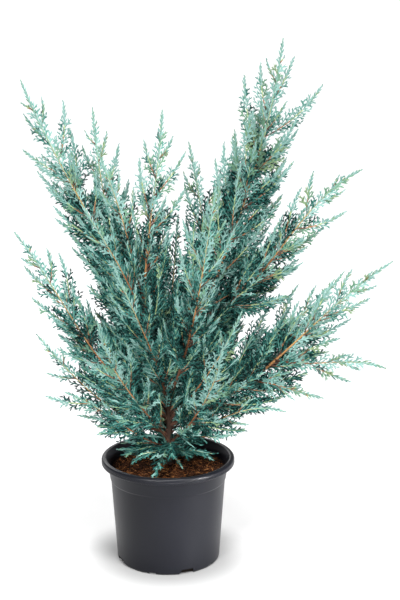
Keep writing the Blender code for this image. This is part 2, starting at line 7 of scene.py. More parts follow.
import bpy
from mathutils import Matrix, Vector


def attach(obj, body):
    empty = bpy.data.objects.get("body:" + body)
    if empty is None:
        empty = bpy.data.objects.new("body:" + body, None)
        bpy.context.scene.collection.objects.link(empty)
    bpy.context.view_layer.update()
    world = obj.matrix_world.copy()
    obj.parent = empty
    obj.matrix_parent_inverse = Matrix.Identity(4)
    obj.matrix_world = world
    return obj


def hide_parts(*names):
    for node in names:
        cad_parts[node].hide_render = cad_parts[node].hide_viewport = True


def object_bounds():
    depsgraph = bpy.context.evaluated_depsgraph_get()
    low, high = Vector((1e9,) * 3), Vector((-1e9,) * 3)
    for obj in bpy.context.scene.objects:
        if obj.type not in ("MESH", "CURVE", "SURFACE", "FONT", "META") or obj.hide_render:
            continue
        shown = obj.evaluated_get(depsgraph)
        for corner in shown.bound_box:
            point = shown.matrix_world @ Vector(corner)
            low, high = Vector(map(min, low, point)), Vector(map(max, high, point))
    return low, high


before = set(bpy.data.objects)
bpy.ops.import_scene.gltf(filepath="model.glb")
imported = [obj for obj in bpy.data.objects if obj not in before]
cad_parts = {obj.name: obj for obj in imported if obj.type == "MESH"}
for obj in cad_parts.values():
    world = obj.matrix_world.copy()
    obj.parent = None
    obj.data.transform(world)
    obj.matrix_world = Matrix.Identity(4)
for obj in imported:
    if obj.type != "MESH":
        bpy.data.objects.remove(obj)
cad_low, cad_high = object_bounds()
print("nodes:", len(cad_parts), "from", tuple(cad_low), "to", tuple(cad_high))

# %% Modules
import math
import random
from typing import NamedTuple

import bmesh
import bpy
import numpy as np
from mathutils import Matrix, Vector, noise

scene = bpy.context.scene
print("Blender", bpy.app.version_string)

# %% [markdown]
# ## The camera
# A camera can be placed by eye or worked out. The pot's rim and its base are true circles, so their two ellipses in
# the picture fix a pinhole camera: how far away it stands, how high, and how far it looks down. That is used here,
# because every bough is then seen at the angle it has in the photograph.

# %% Camera
PICTURE_HEIGHT = 600
FOCAL_PIXELS = 1517
CAMERA_PLACE = (0.0541, -2.4202, 1.078)
CAMERA_PITCH = 14.5

camera = bpy.data.objects.new("camera", bpy.data.cameras.new("camera"))
scene.collection.objects.link(camera)
camera.location = CAMERA_PLACE
camera.rotation_euler = (math.radians(90 - CAMERA_PITCH), 0.0, 0.0)
camera.data.lens = camera.data.sensor_width * FOCAL_PIXELS / PICTURE_HEIGHT
scene.camera = camera
print("lens", round(camera.data.lens, 1), "mm")

# %% [markdown]
# ## The floor
# The plant stands on white, with only a faint soft shadow round the pot's foot. A white floor needs strong lamps to
# look white, and they would bleach the foliage. So this one is grey and glows a little, brightly where it is empty
# and faintly round the foot, which paints a soft shadow there on top of the real one.

# %% Helpers for finishes
def socket(node, name, value):
    """Sets one of a node's inputs, told by its name or its number."""
    node.inputs[name].default_value = value


def plain_material(name, colour, roughness, shine=0.5):
    """A material with one colour, one roughness and one strength of its highlights."""
    material = bpy.data.materials.new(name)
    material.use_nodes = True
    shader = material.node_tree.nodes["Principled BSDF"]
    socket(shader, "Base Color", (*colour, 1.0))
    socket(shader, "Roughness", roughness)
    socket(shader, "Specular IOR Level", shine)
    material.diffuse_color = (*colour, 1.0)
    return material


def map_range(tree, value, before, after, curve="LINEAR"):
    """A node that turns one range of a value into another."""
    node = tree.nodes.new("ShaderNodeMapRange")
    node.interpolation_type = curve
    for name, number in zip(("From Min", "From Max", "To Min", "To Max"), before + after):
        socket(node, name, number)
    tree.links.new(value, node.inputs["Value"])
    return node

# %% Floor
FLOOR_REACH = 60.0
# The dimmer glow round the foot is a painted shadow.
PAINTED_FOOT_SHADOW = (0.078, 0.175)  # the glow grows between these distances from the pot's axis,
FLOOR_GLOW = (0.11, 0.77)  # from the first of these strengths to the second


def make_floor():
    """A pale floor that glows, but less round the pot's foot, which paints a shadow there."""
    mesh = bmesh.new()
    bmesh.ops.create_grid(mesh, x_segments=1, y_segments=1, size=FLOOR_REACH)
    data = bpy.data.meshes.new("floor")
    mesh.to_mesh(data)
    mesh.free()
    white = plain_material("white_floor", (0.3, 0.3, 0.3), 0.9)
    tree = white.node_tree
    shader = tree.nodes["Principled BSDF"]
    place = tree.nodes.new("ShaderNodeTexCoord")
    away = tree.nodes.new("ShaderNodeVectorMath")
    away.operation = "LENGTH"
    tree.links.new(place.outputs["Object"], away.inputs[0])
    glow = map_range(tree, away.outputs["Value"], PAINTED_FOOT_SHADOW, FLOOR_GLOW, "SMOOTHSTEP")
    tree.links.new(glow.outputs["Result"], shader.inputs["Emission Strength"])
    socket(shader, "Emission Color", (1.0, 1.0, 1.0, 1.0))
    data.materials.append(white)
    floor = bpy.data.objects.new("floor", data)
    scene.collection.objects.link(floor)
    return floor


print("floor:", round(make_floor().dimensions.x), "m wide")

# %% [markdown]
# ## The lights
# The light is soft and comes from above and in front. One big lamp would be enough for the crown's outline, but not
# for its depth. So a soft sun stands for daylight, two softboxes in front and one behind fill the crown, and a
# narrow lamp low down at the right lights the pot alone: a softbox that is strong enough for such a dark plastic
# would bleach the leaves above it.

# %% Lights
def lamp(name, kind, place, target, power):
    """A lamp at a place, turned to a target. Its data comes back, for the settings that only its kind has."""
    data = bpy.data.lights.new(name, kind)
    data.energy = power
    light = bpy.data.objects.new(name, data)
    light.location = place
    light.rotation_euler = (Vector(target) - Vector(place)).to_track_quat("-Z", "Y").to_euler()
    scene.collection.objects.link(light)
    return data


front_right = lamp("front_right", "AREA", (1.3, -1.7, 1.5), (0.0, 0.0, 0.6), 14)
front_right.size = 0.8
front_left = lamp("front_left", "AREA", (-0.8, -1.9, 1.1), (0.0, -0.05, 0.36), 5.2)
front_left.size = 0.7
front_left.spread = math.radians(54)
behind = lamp("back", "AREA", (-0.6, 2.2, 1.4), (0.0, 0.0, 0.5), 16)
behind.size = 1.0
pot_light = lamp("pot_light", "SPOT", (1.5, -0.95, 0.10), (0.0, 0.0, 0.085), 900)
pot_light.spot_size = math.radians(9)
pot_light.spot_blend = 0.6
pot_light.shadow_soft_size = 0.2
daylight = lamp("skylight", "SUN", (0.0, 0.0, 0.0), (-0.15, 0.45, -1.0), 3.35)
daylight.angle = math.radians(16)
print("lamps:", ", ".join(light.name for light in (front_right, front_left, behind, pot_light, daylight)))

# %% [markdown]
# ## The sky
# A white sky all round would light the crown flatly from every side, and a dark one would show where the floor
# ends. So the sky is dim, with a white band round the horizon. The standard view transform keeps white white.

# %% Sky
HORIZON_BAND = (0.06, 0.18)  # between a look just over the horizon and a steeper one the sky goes
SKY_STRENGTH = (1.0, 0.15)  # from the first of these strengths to the second


def make_sky():
    """A dim even sky with a white band round the horizon."""
    world = bpy.data.worlds.new("studio")
    world.use_nodes = True
    tree = world.node_tree
    place = tree.nodes.new("ShaderNodeTexCoord")
    split = tree.nodes.new("ShaderNodeSeparateXYZ")
    tree.links.new(place.outputs["Generated"], split.inputs["Vector"])
    band = map_range(tree, split.outputs["Z"], HORIZON_BAND, SKY_STRENGTH)
    tree.links.new(band.outputs["Result"], tree.nodes["Background"].inputs["Strength"])
    socket(tree.nodes["Background"], "Color", (1.0, 1.0, 1.0, 1.0))
    return world


scene.world = make_sky()
scene.view_settings.view_transform = "Standard"
print("sky:", scene.world.name)

# %% [markdown]
# ## Two helpers that every piece uses
# A bmesh is only a workbench. `piece` turns it into an object, gives it its finishes, lets it ride on the plant's
# one body and hides the plain nodes that it stands for.

# %% Helpers for pieces
def piece(name, data, materials, replaced=()):
    """Links a mesh as a finished piece of the plant."""
    for material in materials:
        data.materials.append(material)
    item = bpy.data.objects.new(name, data)
    scene.collection.objects.link(item)
    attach(item, "root")
    if replaced:
        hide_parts(*replaced)
    data.calc_loop_triangles()
    print(name, len(data.loop_triangles), "triangles")
    return item


def mesh_data(name, mesh, smooth=True):
    """A bmesh as mesh data, with its workbench cleared."""
    data = bpy.data.meshes.new(name)
    mesh.to_mesh(data)
    mesh.free()
    if smooth:
        data.shade_smooth()
    return data

# %% [markdown]
# ## The pot
# The real pot is a thin dark moulding: a rounded rim that is thrown out over a collar, a small step at the shoulder,
# a tapering wall and a foot with drain slots. All of it but the slots is round, so half of its cross-section is
# drawn as a few vertices and spun once round the axis. The corners are then bevelled, as a mould needs them.

# %% Pot sizes
POT_HEIGHT = 0.180
RIM_RADIUS = 0.1125
RIM_HEIGHT = 0.0105
OPENING_RADIUS = 0.1044
COLLAR_TOP_RADIUS = 0.1020
COLLAR_FOOT_RADIUS = 0.0980
SHOULDER_HEIGHT = 0.142
SHOULDER_STEP = 0.0014
BASE_RADIUS = 0.0868
WALL = 0.0018
FLOOR = 0.0025
POT_STEPS = 128


def inner_radius(height):
    """The radius of the pot's inner wall, which follows the outer one."""
    if height > SHOULDER_HEIGHT:
        share = (height - SHOULDER_HEIGHT) / (POT_HEIGHT - RIM_HEIGHT - SHOULDER_HEIGHT)
        return COLLAR_FOOT_RADIUS + (COLLAR_TOP_RADIUS - COLLAR_FOOT_RADIUS) * share - WALL - SHOULDER_STEP
    collar_foot = COLLAR_FOOT_RADIUS - SHOULDER_STEP
    return BASE_RADIUS + (collar_foot - BASE_RADIUS) * height / SHOULDER_HEIGHT - WALL


print("pot:", POT_HEIGHT, "m tall and", 2 * RIM_RADIUS, "m across its rim")

# %% Spin a profile
SAME_PLACE = 0.00001


def spun(profile, steps):
    """A bmesh of a profile of (radius, height, bevel) turned once round the vertical axis."""
    mesh = bmesh.new()
    verts = [mesh.verts.new((radius, 0.0, height)) for radius, height, _ in profile]
    edges = [mesh.edges.new(pair) for pair in zip(verts, verts[1:])]
    bmesh.ops.spin(mesh, geom=verts + edges, cent=(0, 0, 0), axis=(0, 0, 1), angle=math.tau,
                   steps=steps, use_merge=True, use_duplicate=False)
    bmesh.ops.remove_doubles(mesh, verts=mesh.verts, dist=SAME_PLACE)
    bmesh.ops.recalc_face_normals(mesh, faces=mesh.faces)
    for radius, height, bevel in profile:
        if bevel:
            ring = [edge for edge in mesh.edges if all(
                abs(math.hypot(vert.co.x, vert.co.y) - radius) < 2 * SAME_PLACE
                and abs(vert.co.z - height) < 2 * SAME_PLACE for vert in edge.verts)]
            bmesh.ops.bevel(mesh, geom=ring, offset=bevel, segments=4, profile=0.5, affect="EDGES", material=-1)
    return mesh

# %% The pot without its slots
def make_pot_mesh():
    """The pot, from the middle of its floor inside, over the rim, to the middle of its base."""
    under_rim = POT_HEIGHT - RIM_HEIGHT
    profile = (
        (0.0, FLOOR, 0),
        (inner_radius(FLOOR), FLOOR, 0.001),
        (inner_radius(SHOULDER_HEIGHT), SHOULDER_HEIGHT, 0),
        (inner_radius(under_rim), under_rim, 0.002),
        (OPENING_RADIUS, POT_HEIGHT, 0.0012),
        (OPENING_RADIUS + 0.0030, POT_HEIGHT, 0),  # a fine groove round the rim's top
        (OPENING_RADIUS + 0.0034, POT_HEIGHT - 0.00035, 0),
        (OPENING_RADIUS + 0.0038, POT_HEIGHT, 0),
        (RIM_RADIUS, POT_HEIGHT, 0.0040),
        (RIM_RADIUS, POT_HEIGHT - 0.0058, 0),  # and one round its side
        (RIM_RADIUS - 0.0004, POT_HEIGHT - 0.0062, 0),
        (RIM_RADIUS, POT_HEIGHT - 0.0066, 0),
        (RIM_RADIUS, under_rim, 0.0016),
        (RIM_RADIUS - 0.0022, under_rim, 0),
        (COLLAR_TOP_RADIUS, under_rim + 0.001, 0.0014),
        (COLLAR_FOOT_RADIUS, SHOULDER_HEIGHT + SHOULDER_STEP, 0.0008),
        (COLLAR_FOOT_RADIUS - SHOULDER_STEP, SHOULDER_HEIGHT - 0.0006, 0.0008),
        (BASE_RADIUS + 0.0003, 0.0035, 0.0008),
        (BASE_RADIUS - 0.0022, 0.0, 0.0008),
        (0.0, 0.0, 0),
    )
    return mesh_data("pot", spun(profile, POT_STEPS))


pot = piece("nursery_pot", make_pot_mesh(), [], ["pot"])

# %% [markdown]
# ## The drain slots
# Low slots are cut through the foot, wide ones with one slanted side and narrow ones between them. They could be
# pulled out of the wall by hand, but a Boolean with one tapered block for each is quicker and leaves clean edges.

# %% Cut the drain slots
WIDE_SLOTS = (20.5, 110.5, 200.5, 290.5)
NARROW_SLOTS = (-18, 57, 162, 237)
SLOT_SIZES = ((WIDE_SLOTS, 0.028, 0.009, 0.007), (NARROW_SLOTS, 0.013, 0.0035, 0.002))
BLOCK_DEPTH = 0.016
BLOCK_BELOW = 0.004


def slot_block(angle, width, height, slant):
    """A block across the pot's bottom edge, narrower at its top by slant on one side."""
    mesh = bmesh.new()
    bmesh.ops.create_cube(mesh, size=1.0)
    size = (width, BLOCK_DEPTH, height + BLOCK_BELOW, 1.0)
    bmesh.ops.transform(mesh, verts=mesh.verts, matrix=Matrix.Diagonal(size))
    bmesh.ops.translate(mesh, verts=mesh.verts, vec=(0.0, -BASE_RADIUS, (height - BLOCK_BELOW) / 2))
    corner = [vert for vert in mesh.verts if vert.co.z > 0.001 and vert.co.x < 0]
    bmesh.ops.translate(mesh, verts=corner, vec=(slant, 0.0, 0.0))
    turn = Matrix.Rotation(math.radians(angle), 3, "Z")
    bmesh.ops.rotate(mesh, verts=mesh.verts, cent=(0, 0, 0), matrix=turn)
    return mesh_data("slot_block", mesh, smooth=False)


def cut_slots(item):
    """Cuts the slots one after another, and applies each cut before the next."""
    for angles, width, height, slant in SLOT_SIZES:
        for angle in angles:
            cutter = bpy.data.objects.new("cutter", slot_block(angle, width, height, slant))
            scene.collection.objects.link(cutter)
            cut = item.modifiers.new("slot", "BOOLEAN")
            cut.operation = "DIFFERENCE"
            cut.object = cutter
            graph = bpy.context.evaluated_depsgraph_get()
            item.data = bpy.data.meshes.new_from_object(item.evaluated_get(graph))
            item.modifiers.clear()
            bpy.data.objects.remove(cutter, do_unlink=True)
    item.data.name = "nursery_pot"
    item.data.shade_smooth()
    item.data.set_sharp_from_angle(angle=math.radians(32))


cut_slots(pot)
print("pot with slots:", len(pot.data.polygons), "faces")

# %% [markdown]
# ## Slate-grey plastic
# The moulded plastic is a dark blue-grey with a satin skin: a broad soft highlight, a fine grain and slightly
# rubbed places. One grey would look like a drawing, so a fine noise makes the grain, and a large one varies the
# roughness and the colour a little.

# %% Helpers for patterns
def noise_texture(tree, scale, detail=3.0, stretched=(1.0, 1.0, 1.0)):
    """A noise on the piece's own coordinates."""
    place = tree.nodes.new("ShaderNodeTexCoord")
    mapping = tree.nodes.new("ShaderNodeMapping")
    texture = tree.nodes.new("ShaderNodeTexNoise")
    socket(mapping, "Scale", stretched)
    socket(texture, "Scale", scale)
    socket(texture, "Detail", detail)
    tree.links.new(place.outputs["Object"], mapping.inputs["Vector"])
    tree.links.new(mapping.outputs["Vector"], texture.inputs["Vector"])
    return texture.outputs["Fac"]


def ramp(tree, value, target, *stops):
    """A colour ramp of (position, colour) stops, fed by a value and joined to one of the shader's sockets."""
    node = tree.nodes.new("ShaderNodeValToRGB")
    while len(node.color_ramp.elements) < len(stops):
        node.color_ramp.elements.new(1.0)
    for element, (position, colour) in zip(node.color_ramp.elements, stops):
        element.position = position
        element.color = (*colour, 1.0)
    tree.links.new(value, node.inputs["Fac"])
    tree.links.new(node.outputs["Color"], tree.nodes["Principled BSDF"].inputs[target])


def bump(tree, value, strength, distance):
    """A bump that a value drives, joined to the shader."""
    node = tree.nodes.new("ShaderNodeBump")
    socket(node, "Strength", strength)
    socket(node, "Distance", distance)
    tree.links.new(value, node.inputs["Height"])
    tree.links.new(node.outputs["Normal"], tree.nodes["Principled BSDF"].inputs["Normal"])

# %% Plastic finish
def slate_plastic():
    """Satin moulded plastic, a little lighter and duller in patches."""
    material = plain_material("slate_plastic", (0.05, 0.052, 0.058), 0.42, 0.22)
    tree = material.node_tree
    patches = noise_texture(tree, 9.0, 4.0)
    ramp(tree, patches, "Base Color", (0.3, (0.0050, 0.0053, 0.0078)), (0.7, (0.0076, 0.0081, 0.0118)))
    ramp(tree, patches, "Roughness", (0.3, (0.32, 0.32, 0.32)), (0.7, (0.42, 0.42, 0.42)))
    bump(tree, noise_texture(tree, 900.0, 2.0), 0.25, 0.0002)
    return material


pot.data.materials.clear()
pot.data.materials.append(slate_plastic())
print("pot's finish:", pot.data.materials[0].name)

# %% [markdown]
# ## How a bough runs
# Every bough is one smooth line. It leaves its carrier at one angle, ends at another, and swings a little to one
# side. The table below gives those sizes, the same ones as the plain model's. Growing everything from the table
# by rule keeps each fine twig where the plain solid is, which placing twigs by hand would not.

# %% The table of boughs
class Bough(NamedTuple):
    """One limb and its plume, in metres and degrees."""

    name: str
    carrier: str
    foot: float  # height up the trunk, or share of the way along another bough
    heading: float  # 0 to the right and 90 to the back
    reach: float  # how far out its tip is from its foot, and how far up
    rise: float
    leaves_at: float  # how steeply it climbs at its foot, and at its tip
    ends_at: float
    sweep: float  # how far it swings to one side
    bare: float  # share of its length before its plume begins
    shoot: float  # length of its longest side shoots


BOUGHS = (
    Bough("right_tall", "trunk", 0.292, 12, 0.193, 0.587, 64, 84, 12, 0.28, 0.142),
    Bough("centre", "trunk", 0.286, 240, 0.010, 0.484, 62, 84, -50, 0.38, 0.112),
    Bough("left_tall", "trunk", 0.270, 167, 0.245, 0.540, 80, 70, -12, 0.28, 0.116),
    Bough("left_inner", "trunk", 0.280, 134, 0.182, 0.475, 66, 60, 34, 0.26, 0.109),
    Bough("centre_back", "trunk", 0.274, 74, 0.125, 0.425, 40, 64, -44, 0.24, 0.106),
    Bough("front_centre", "trunk", 0.277, -54, 0.136, 0.387, 58, 74, 4, 0.20, 0.109),
    Bough("front_left", "trunk", 0.260, -127, 0.137, 0.277, 76, 64, 6, 0.20, 0.109),
    Bough("right_mid", "trunk", 0.236, -8, 0.366, 0.295, 19, 34, -2, 0.48, 0.109),
    Bough("right_inner", "trunk", 0.252, 22, 0.326, 0.222, 40, 52, 2, 0.26, 0.109),
    Bough("left_mid", "trunk", 0.246, -173, 0.250, 0.329, 28, 53, -1, 0.22, 0.113),
    Bough("left_low", "trunk", 0.221, 181, 0.221, 0.176, 13, 52, 6, 0.20, 0.101),
    Bough("back_left", "trunk", 0.264, 116, 0.225, 0.320, 44, 66, 8, 0.22, 0.118),
    Bough("back_right", "trunk", 0.258, 52, 0.235, 0.300, 40, 62, 6, 0.22, 0.118),
    Bough("back_middle", "trunk", 0.268, 84, 0.156, 0.300, 42, 74, 8, 0.22, 0.112),
    Bough("back_low_left", "trunk", 0.236, 143, 0.225, 0.190, 30, 48, 4, 0.20, 0.112),
    Bough("back_low", "trunk", 0.214, 94, 0.245, 0.170, 22, 46, -6, 0.20, 0.112),
    Bough("back_low_right", "trunk", 0.226, 38, 0.235, 0.120, 24, 30, 4, 0.20, 0.106),
    Bough("front_right", "trunk", 0.244, -38, 0.152, 0.217, 46, 64, 6, 0.20, 0.109),
    Bough("front_low_right", "trunk", 0.202, -62, 0.186, 0.218, 40, 62, 14, 0.16, 0.100),
    Bough("front_low_left", "trunk", 0.206, -124, 0.192, 0.256, 52, 72, -14, 0.16, 0.109),
    Bough("centre_left", "centre", 0.32, 190, 0.076, 0.268, 78, 66, -10, 0.12, 0.100),
    Bough("front_left_high", "centre", 0.25, 213, 0.120, 0.225, 70, 58, 14, 0.16, 0.100),
    Bough("right_upper", "right_tall", 0.22, -13, 0.268, 0.262, 20, 26, 2, 0.18, 0.109),
    Bough("right_low", "right_mid", 0.46, -24, 0.190, 0.008, -8, -18, -2, 0.12, 0.099),
    Bough("right_bottom", "right_mid", 0.34, -42, 0.155, 0.004, 14, 2, -4, 0.14, 0.094),
    Bough("left_bottom", "trunk", 0.194, -160, 0.182, 0.120, 20, 24, -4, 0.00, 0.087),
    Bough("right_floor", "trunk", 0.190, -15, 0.202, 0.085, 38, -14, 6, 0.00, 0.092),
    Bough("skirt_front", "trunk", 0.180, -66, 0.062, -0.004, 20, -34, 0, 0.0, 0.030),
    Bough("skirt_right", "trunk", 0.182, -28, 0.078, 0.012, 30, -20, 0, 0.0, 0.034),
    Bough("skirt_left", "trunk", 0.181, -138, 0.072, 0.014, 30, -16, 0, 0.0, 0.034),
    Bough("skirt_back", "trunk", 0.183, 96, 0.078, 0.018, 32, -8, 0, 0.0, 0.034),
)
print("plumes:", len(BOUGHS), "of which on a bough:", sum(bough.bare > 0 for bough in BOUGHS))

# %% Walk along a line
def distances_along(line):
    """How far along a line each of its points is."""
    return np.concatenate([[0.0], np.cumsum(np.linalg.norm(np.diff(line, axis=0), axis=1))])


def places_along(line, distances):
    """The places at some distances along a line."""
    along = distances_along(line)
    return np.stack([np.interp(distances, along, line[:, axis]) for axis in range(3)], -1)


def walk(line, distance):
    """The place at one distance along a line."""
    return Vector(places_along(line, distance))


def stretch(line, start, end, spacing):
    """Evenly spaced places on the line between two distances."""
    count = max(1, round((end - start) / spacing))
    return np.array([walk(line, start + (end - start) * i / count) for i in range(count + 1)])

# %% The trunk's line
SOIL_CROWN = 0.166
TRUNK_FOOT = SOIL_CROWN + 0.0003
TRUNK_TOP = 0.298
TRUNK_CROOK = 0.0022


def trunk_line():
    """The trunk's middle line, straight at its foot and then slightly crooked."""
    heights = np.linspace(TRUNK_FOOT, TRUNK_TOP, 9)
    share = np.clip((heights - heights[1]) / (heights[-1] - heights[1]), 0.0, 1.0)
    side = 0.001 + TRUNK_CROOK * np.sin(share * math.pi * 1.5)
    return np.stack([side, -0.6 * TRUNK_CROOK * np.sin(share * math.pi), heights], axis=1)


TRUNK_LINE = trunk_line()
print("trunk:", round(TRUNK_TOP - TRUNK_FOOT, 3), "m tall")

# %% The boughs' lines
STATIONS = 48


def heading_vector(heading, climb):
    """A direction from two angles."""
    turn = math.radians(heading)
    lift = math.radians(climb)
    return Vector((math.cos(lift) * math.cos(turn), math.cos(lift) * math.sin(turn), math.sin(lift)))


def bough_line(bough, foot):
    """A smooth line from foot to tip that leaves and ends at the bough's own angles."""
    turn = math.radians(bough.heading)
    tip = foot + Vector((bough.reach * math.cos(turn), bough.reach * math.sin(turn), bough.rise))
    hold = (tip - foot).length / 3
    out = foot + hold * heading_vector(bough.heading + bough.sweep, bough.leaves_at)
    back = tip - hold * heading_vector(bough.heading - bough.sweep, bough.ends_at)
    share = np.linspace(0.0, 1.0, STATIONS + 1)[:, None]
    rest = 1.0 - share
    ends = rest**3 * np.array(foot) + share**3 * np.array(tip)
    return ends + 3 * rest * rest * share * np.array(out) + 3 * rest * share * share * np.array(back)


LINES = {}
LENGTHS = {}
for bough in BOUGHS:
    if bough.carrier == "trunk":
        foot = walk(TRUNK_LINE, bough.foot - TRUNK_FOOT)
    else:
        foot = walk(LINES[bough.carrier], bough.foot * LENGTHS[bough.carrier])
    LINES[bough.name] = bough_line(bough, foot)
    LENGTHS[bough.name] = float(distances_along(LINES[bough.name])[-1])
print("lines:", len(LINES), "in all", round(sum(LENGTHS.values()), 2), "m long")

# %% [markdown]
# ## Trunk and boughs with bark
# Young juniper bark is a thin red-brown skin with long ridges that flakes at the foot. A limb could be a curve with
# a bevel, but an extruded ring can be shaped at every station: it is swept along the line, tapered, swollen where it
# joins its carrier, and its sides are pushed in and out by a noise that is drawn out along the limb.

# %% Rings along a limb
def ring_turns(places, radii):
    """For each place the matrix that lays a unit ring there, square to the line and never twisted."""
    turns = []
    side = None
    for i, place in enumerate(places):
        ahead = (places[min(i + 1, len(places) - 1)] - places[max(i - 1, 0)]).normalized()
        side = ahead.orthogonal() if side is None else side - side.dot(ahead) * ahead
        side = side.normalized()
        columns = Matrix((side, ahead.cross(side), ahead)).transposed().to_4x4()
        turns.append(Matrix.Translation(place) @ columns @ Matrix.Diagonal((radii[i], radii[i], 1.0, 1.0)))
    return turns


def extruded_rings(mesh, turns, sides):
    """A closed tube, as the list of its rings: the first one is extruded to each of the others."""
    first = bmesh.ops.create_circle(mesh, cap_ends=True, segments=sides, radius=1.0)["verts"]
    bmesh.ops.transform(mesh, matrix=turns[0], verts=first)
    rings = [first]
    edges = list({edge for vert in first for edge in vert.link_edges})
    for before, after in zip(turns, turns[1:]):
        made = bmesh.ops.extrude_edge_only(mesh, edges=edges)["geom"]
        verts = [item for item in made if isinstance(item, bmesh.types.BMVert)]
        edges = [item for item in made if isinstance(item, bmesh.types.BMEdge)
                 and all(vert in verts for vert in item.verts)]
        bmesh.ops.transform(mesh, matrix=after @ before.inverted(), verts=verts)
        rings.append(verts)
    bmesh.ops.contextual_create(mesh, geom=edges)
    return rings

# %% Sweep a limb
RIDGES_ROUND = 1.7  # how often the bark's ridges change round a limb,
RIDGES_ALONG = 0.35  # and from ring to ring along it
FINE_RIDGES = 2.7
FINE_SHARE = 0.6


def sweep_limb(mesh, places, radii, sides, relief):
    """One limb with bark ridges pushed out of its sides."""
    along = mesh.verts.layers.float["along"]
    places = [Vector(place) for place in places]
    rings = extruded_rings(mesh, ring_turns(places, radii), sides)
    for i, (centre, ring) in enumerate(zip(places, rings)):
        for vert in ring:
            away = vert.co - centre
            across = (away.x / radii[i] * RIDGES_ROUND, away.y / radii[i] * RIDGES_ROUND, i * RIDGES_ALONG)
            spot = Vector(across) + centre * 3
            fine = FINE_SHARE * relief * noise.noise(spot * FINE_RIDGES)
            vert.co = centre + away * (1.0 + relief * noise.noise(spot) + fine)
            vert[along] = i / (len(rings) - 1)


def limbs_mesh(name, limbs, sides, relief):
    """Limbs, each given by its places and radii, as one mesh."""
    mesh = bmesh.new()
    mesh.verts.layers.float.new("along")
    for places, radii in limbs:
        sweep_limb(mesh, places, radii, sides, relief)
    bmesh.ops.recalc_face_normals(mesh, faces=mesh.faces)
    return mesh_data(name, mesh)

# %% Trunk
TRUNK_RADIUS = 0.0056
FORK_RADIUS = 0.0044
FLARE_RADIUS = 0.0095
FLARE_HEIGHT = 0.022


def trunk_radius(height):
    """Tapering upwards, and flared where the roots begin."""
    share = (height - TRUNK_FOOT) / (TRUNK_TOP - TRUNK_FOOT)
    plain = TRUNK_RADIUS + (FORK_RADIUS - TRUNK_RADIUS) * share
    flare = max(0.0, 1.0 - (height - TRUNK_FOOT) / FLARE_HEIGHT)
    return plain + (FLARE_RADIUS - TRUNK_RADIUS) * flare * flare


def trunk_limb():
    """The trunk's places and radii."""
    places = stretch(TRUNK_LINE, 0.0, float(distances_along(TRUNK_LINE)[-1]), 0.003)
    return places, [trunk_radius(place[2]) for place in places]


trunk = piece("trunk_with_bark", limbs_mesh("trunk", [trunk_limb()], 20, 0.16), [], ["trunk"])

# %% Boughs
THINNEST_FOOT = 0.0010
FOOT_PER_LENGTH = 0.0046
TIP_RADIUS = 0.0009
TIP_MARGIN = 0.003
SWELLING = 0.35
SWELLING_LENGTH = 0.012
SLIMMER = 0.42


def limb_radius(length, distance):
    """A bough's radius, thick at the foot of a long bough and thin at any tip."""
    foot_radius = THINNEST_FOOT + FOOT_PER_LENGTH * length
    return foot_radius + (TIP_RADIUS - foot_radius) * distance / length


def slimmer(bare, length, distance):
    """Inside its foliage a bough draws in, so that the leaves nearly hide it."""
    return 1.0 - SLIMMER * math.sin(math.pi * min(max((distance - bare) / (length - bare), 0.0), 1.0))


def bough_limb(bough):
    """A bough's places and radii, from inside its carrier to the tip of its plume's stem."""
    length = LENGTHS[bough.name]
    places = stretch(LINES[bough.name], 0.0, length - TIP_MARGIN, 0.008)
    spacing = (length - TIP_MARGIN) / (len(places) - 1)
    radii = [limb_radius(length, i * spacing) * (1.0 + SWELLING * math.exp(-i * spacing / SWELLING_LENGTH))
             * slimmer(bough.bare * length, length, i * spacing) for i in range(len(places))]
    return places, radii


BOUGH_NODES = ["bough_" + bough.name for bough in BOUGHS if bough.bare > 0]
boughs = piece("boughs_with_bark", limbs_mesh("boughs", [bough_limb(bough) for bough in BOUGHS], 8, 0.10), [],
               BOUGH_NODES)

# %% [markdown]
# ## Bark, old and young
# On one bough the bark goes from dark flaking brown at the foot, through red-brown and a bright orange-brown, to the
# yellow-green of this year's growth. Each ring of a limb carries how far along it stands, so one colour ramp
# reads that number, and a noise breaks up the bands.

# %% Bark finishes
FLAKE_SHIFT = 0.22


def bark(name, *stops, relief=0.5):
    """A bark whose colour follows the limb from its foot to its tip."""
    material = plain_material(name, stops[0][1], 0.85, 0.2)
    tree = material.node_tree
    flakes = noise_texture(tree, 260.0, 4.0, stretched=(1.0, 1.0, 0.35))
    along = tree.nodes.new("ShaderNodeAttribute")
    along.attribute_name = "along"
    shifted = tree.nodes.new("ShaderNodeMath")
    shifted.operation = "MULTIPLY_ADD"
    tree.links.new(flakes, shifted.inputs[0])
    socket(shifted, 1, FLAKE_SHIFT)
    tree.links.new(along.outputs["Fac"], shifted.inputs[2])
    ramp(tree, shifted.outputs["Value"], "Base Color", *stops)
    bump(tree, flakes, relief, 0.0006)
    return material


trunk.data.materials.append(bark(
    "trunk_bark", (0.05, (0.024, 0.013, 0.009)), (0.25, (0.062, 0.034, 0.022)), (0.6, (0.032, 0.018, 0.013)),
    (1.0, (0.060, 0.030, 0.019)), relief=0.9))
boughs.data.materials.append(bark(
    "bough_bark", (0.15, (0.060, 0.028, 0.018)), (0.36, (0.140, 0.060, 0.030)), (0.52, (0.340, 0.150, 0.060)),
    (0.76, (0.400, 0.270, 0.110)), (0.94, (0.250, 0.350, 0.220)), (1.0, (0.190, 0.330, 0.270))))
print("barks:", trunk.data.materials[0].name, boughs.data.materials[0].name)

# %% [markdown]
# ## Where a shoot may grow
# Each plume keeps to the space that is nearest to its own stem, and off the pot and the thick limbs. Shoots could
# be trimmed afterwards, but a cut shoot looks cut, so each is tried before it grows. The plain model was grown under
# the same rule, and the crown keeps the gaps that it has in the photograph. A small window in front of the trunk
# stays open too, because its red-brown bark shows there.

# %% Stems
TRUNK_ROOM = 0.013
STEM_SPACING = 0.010


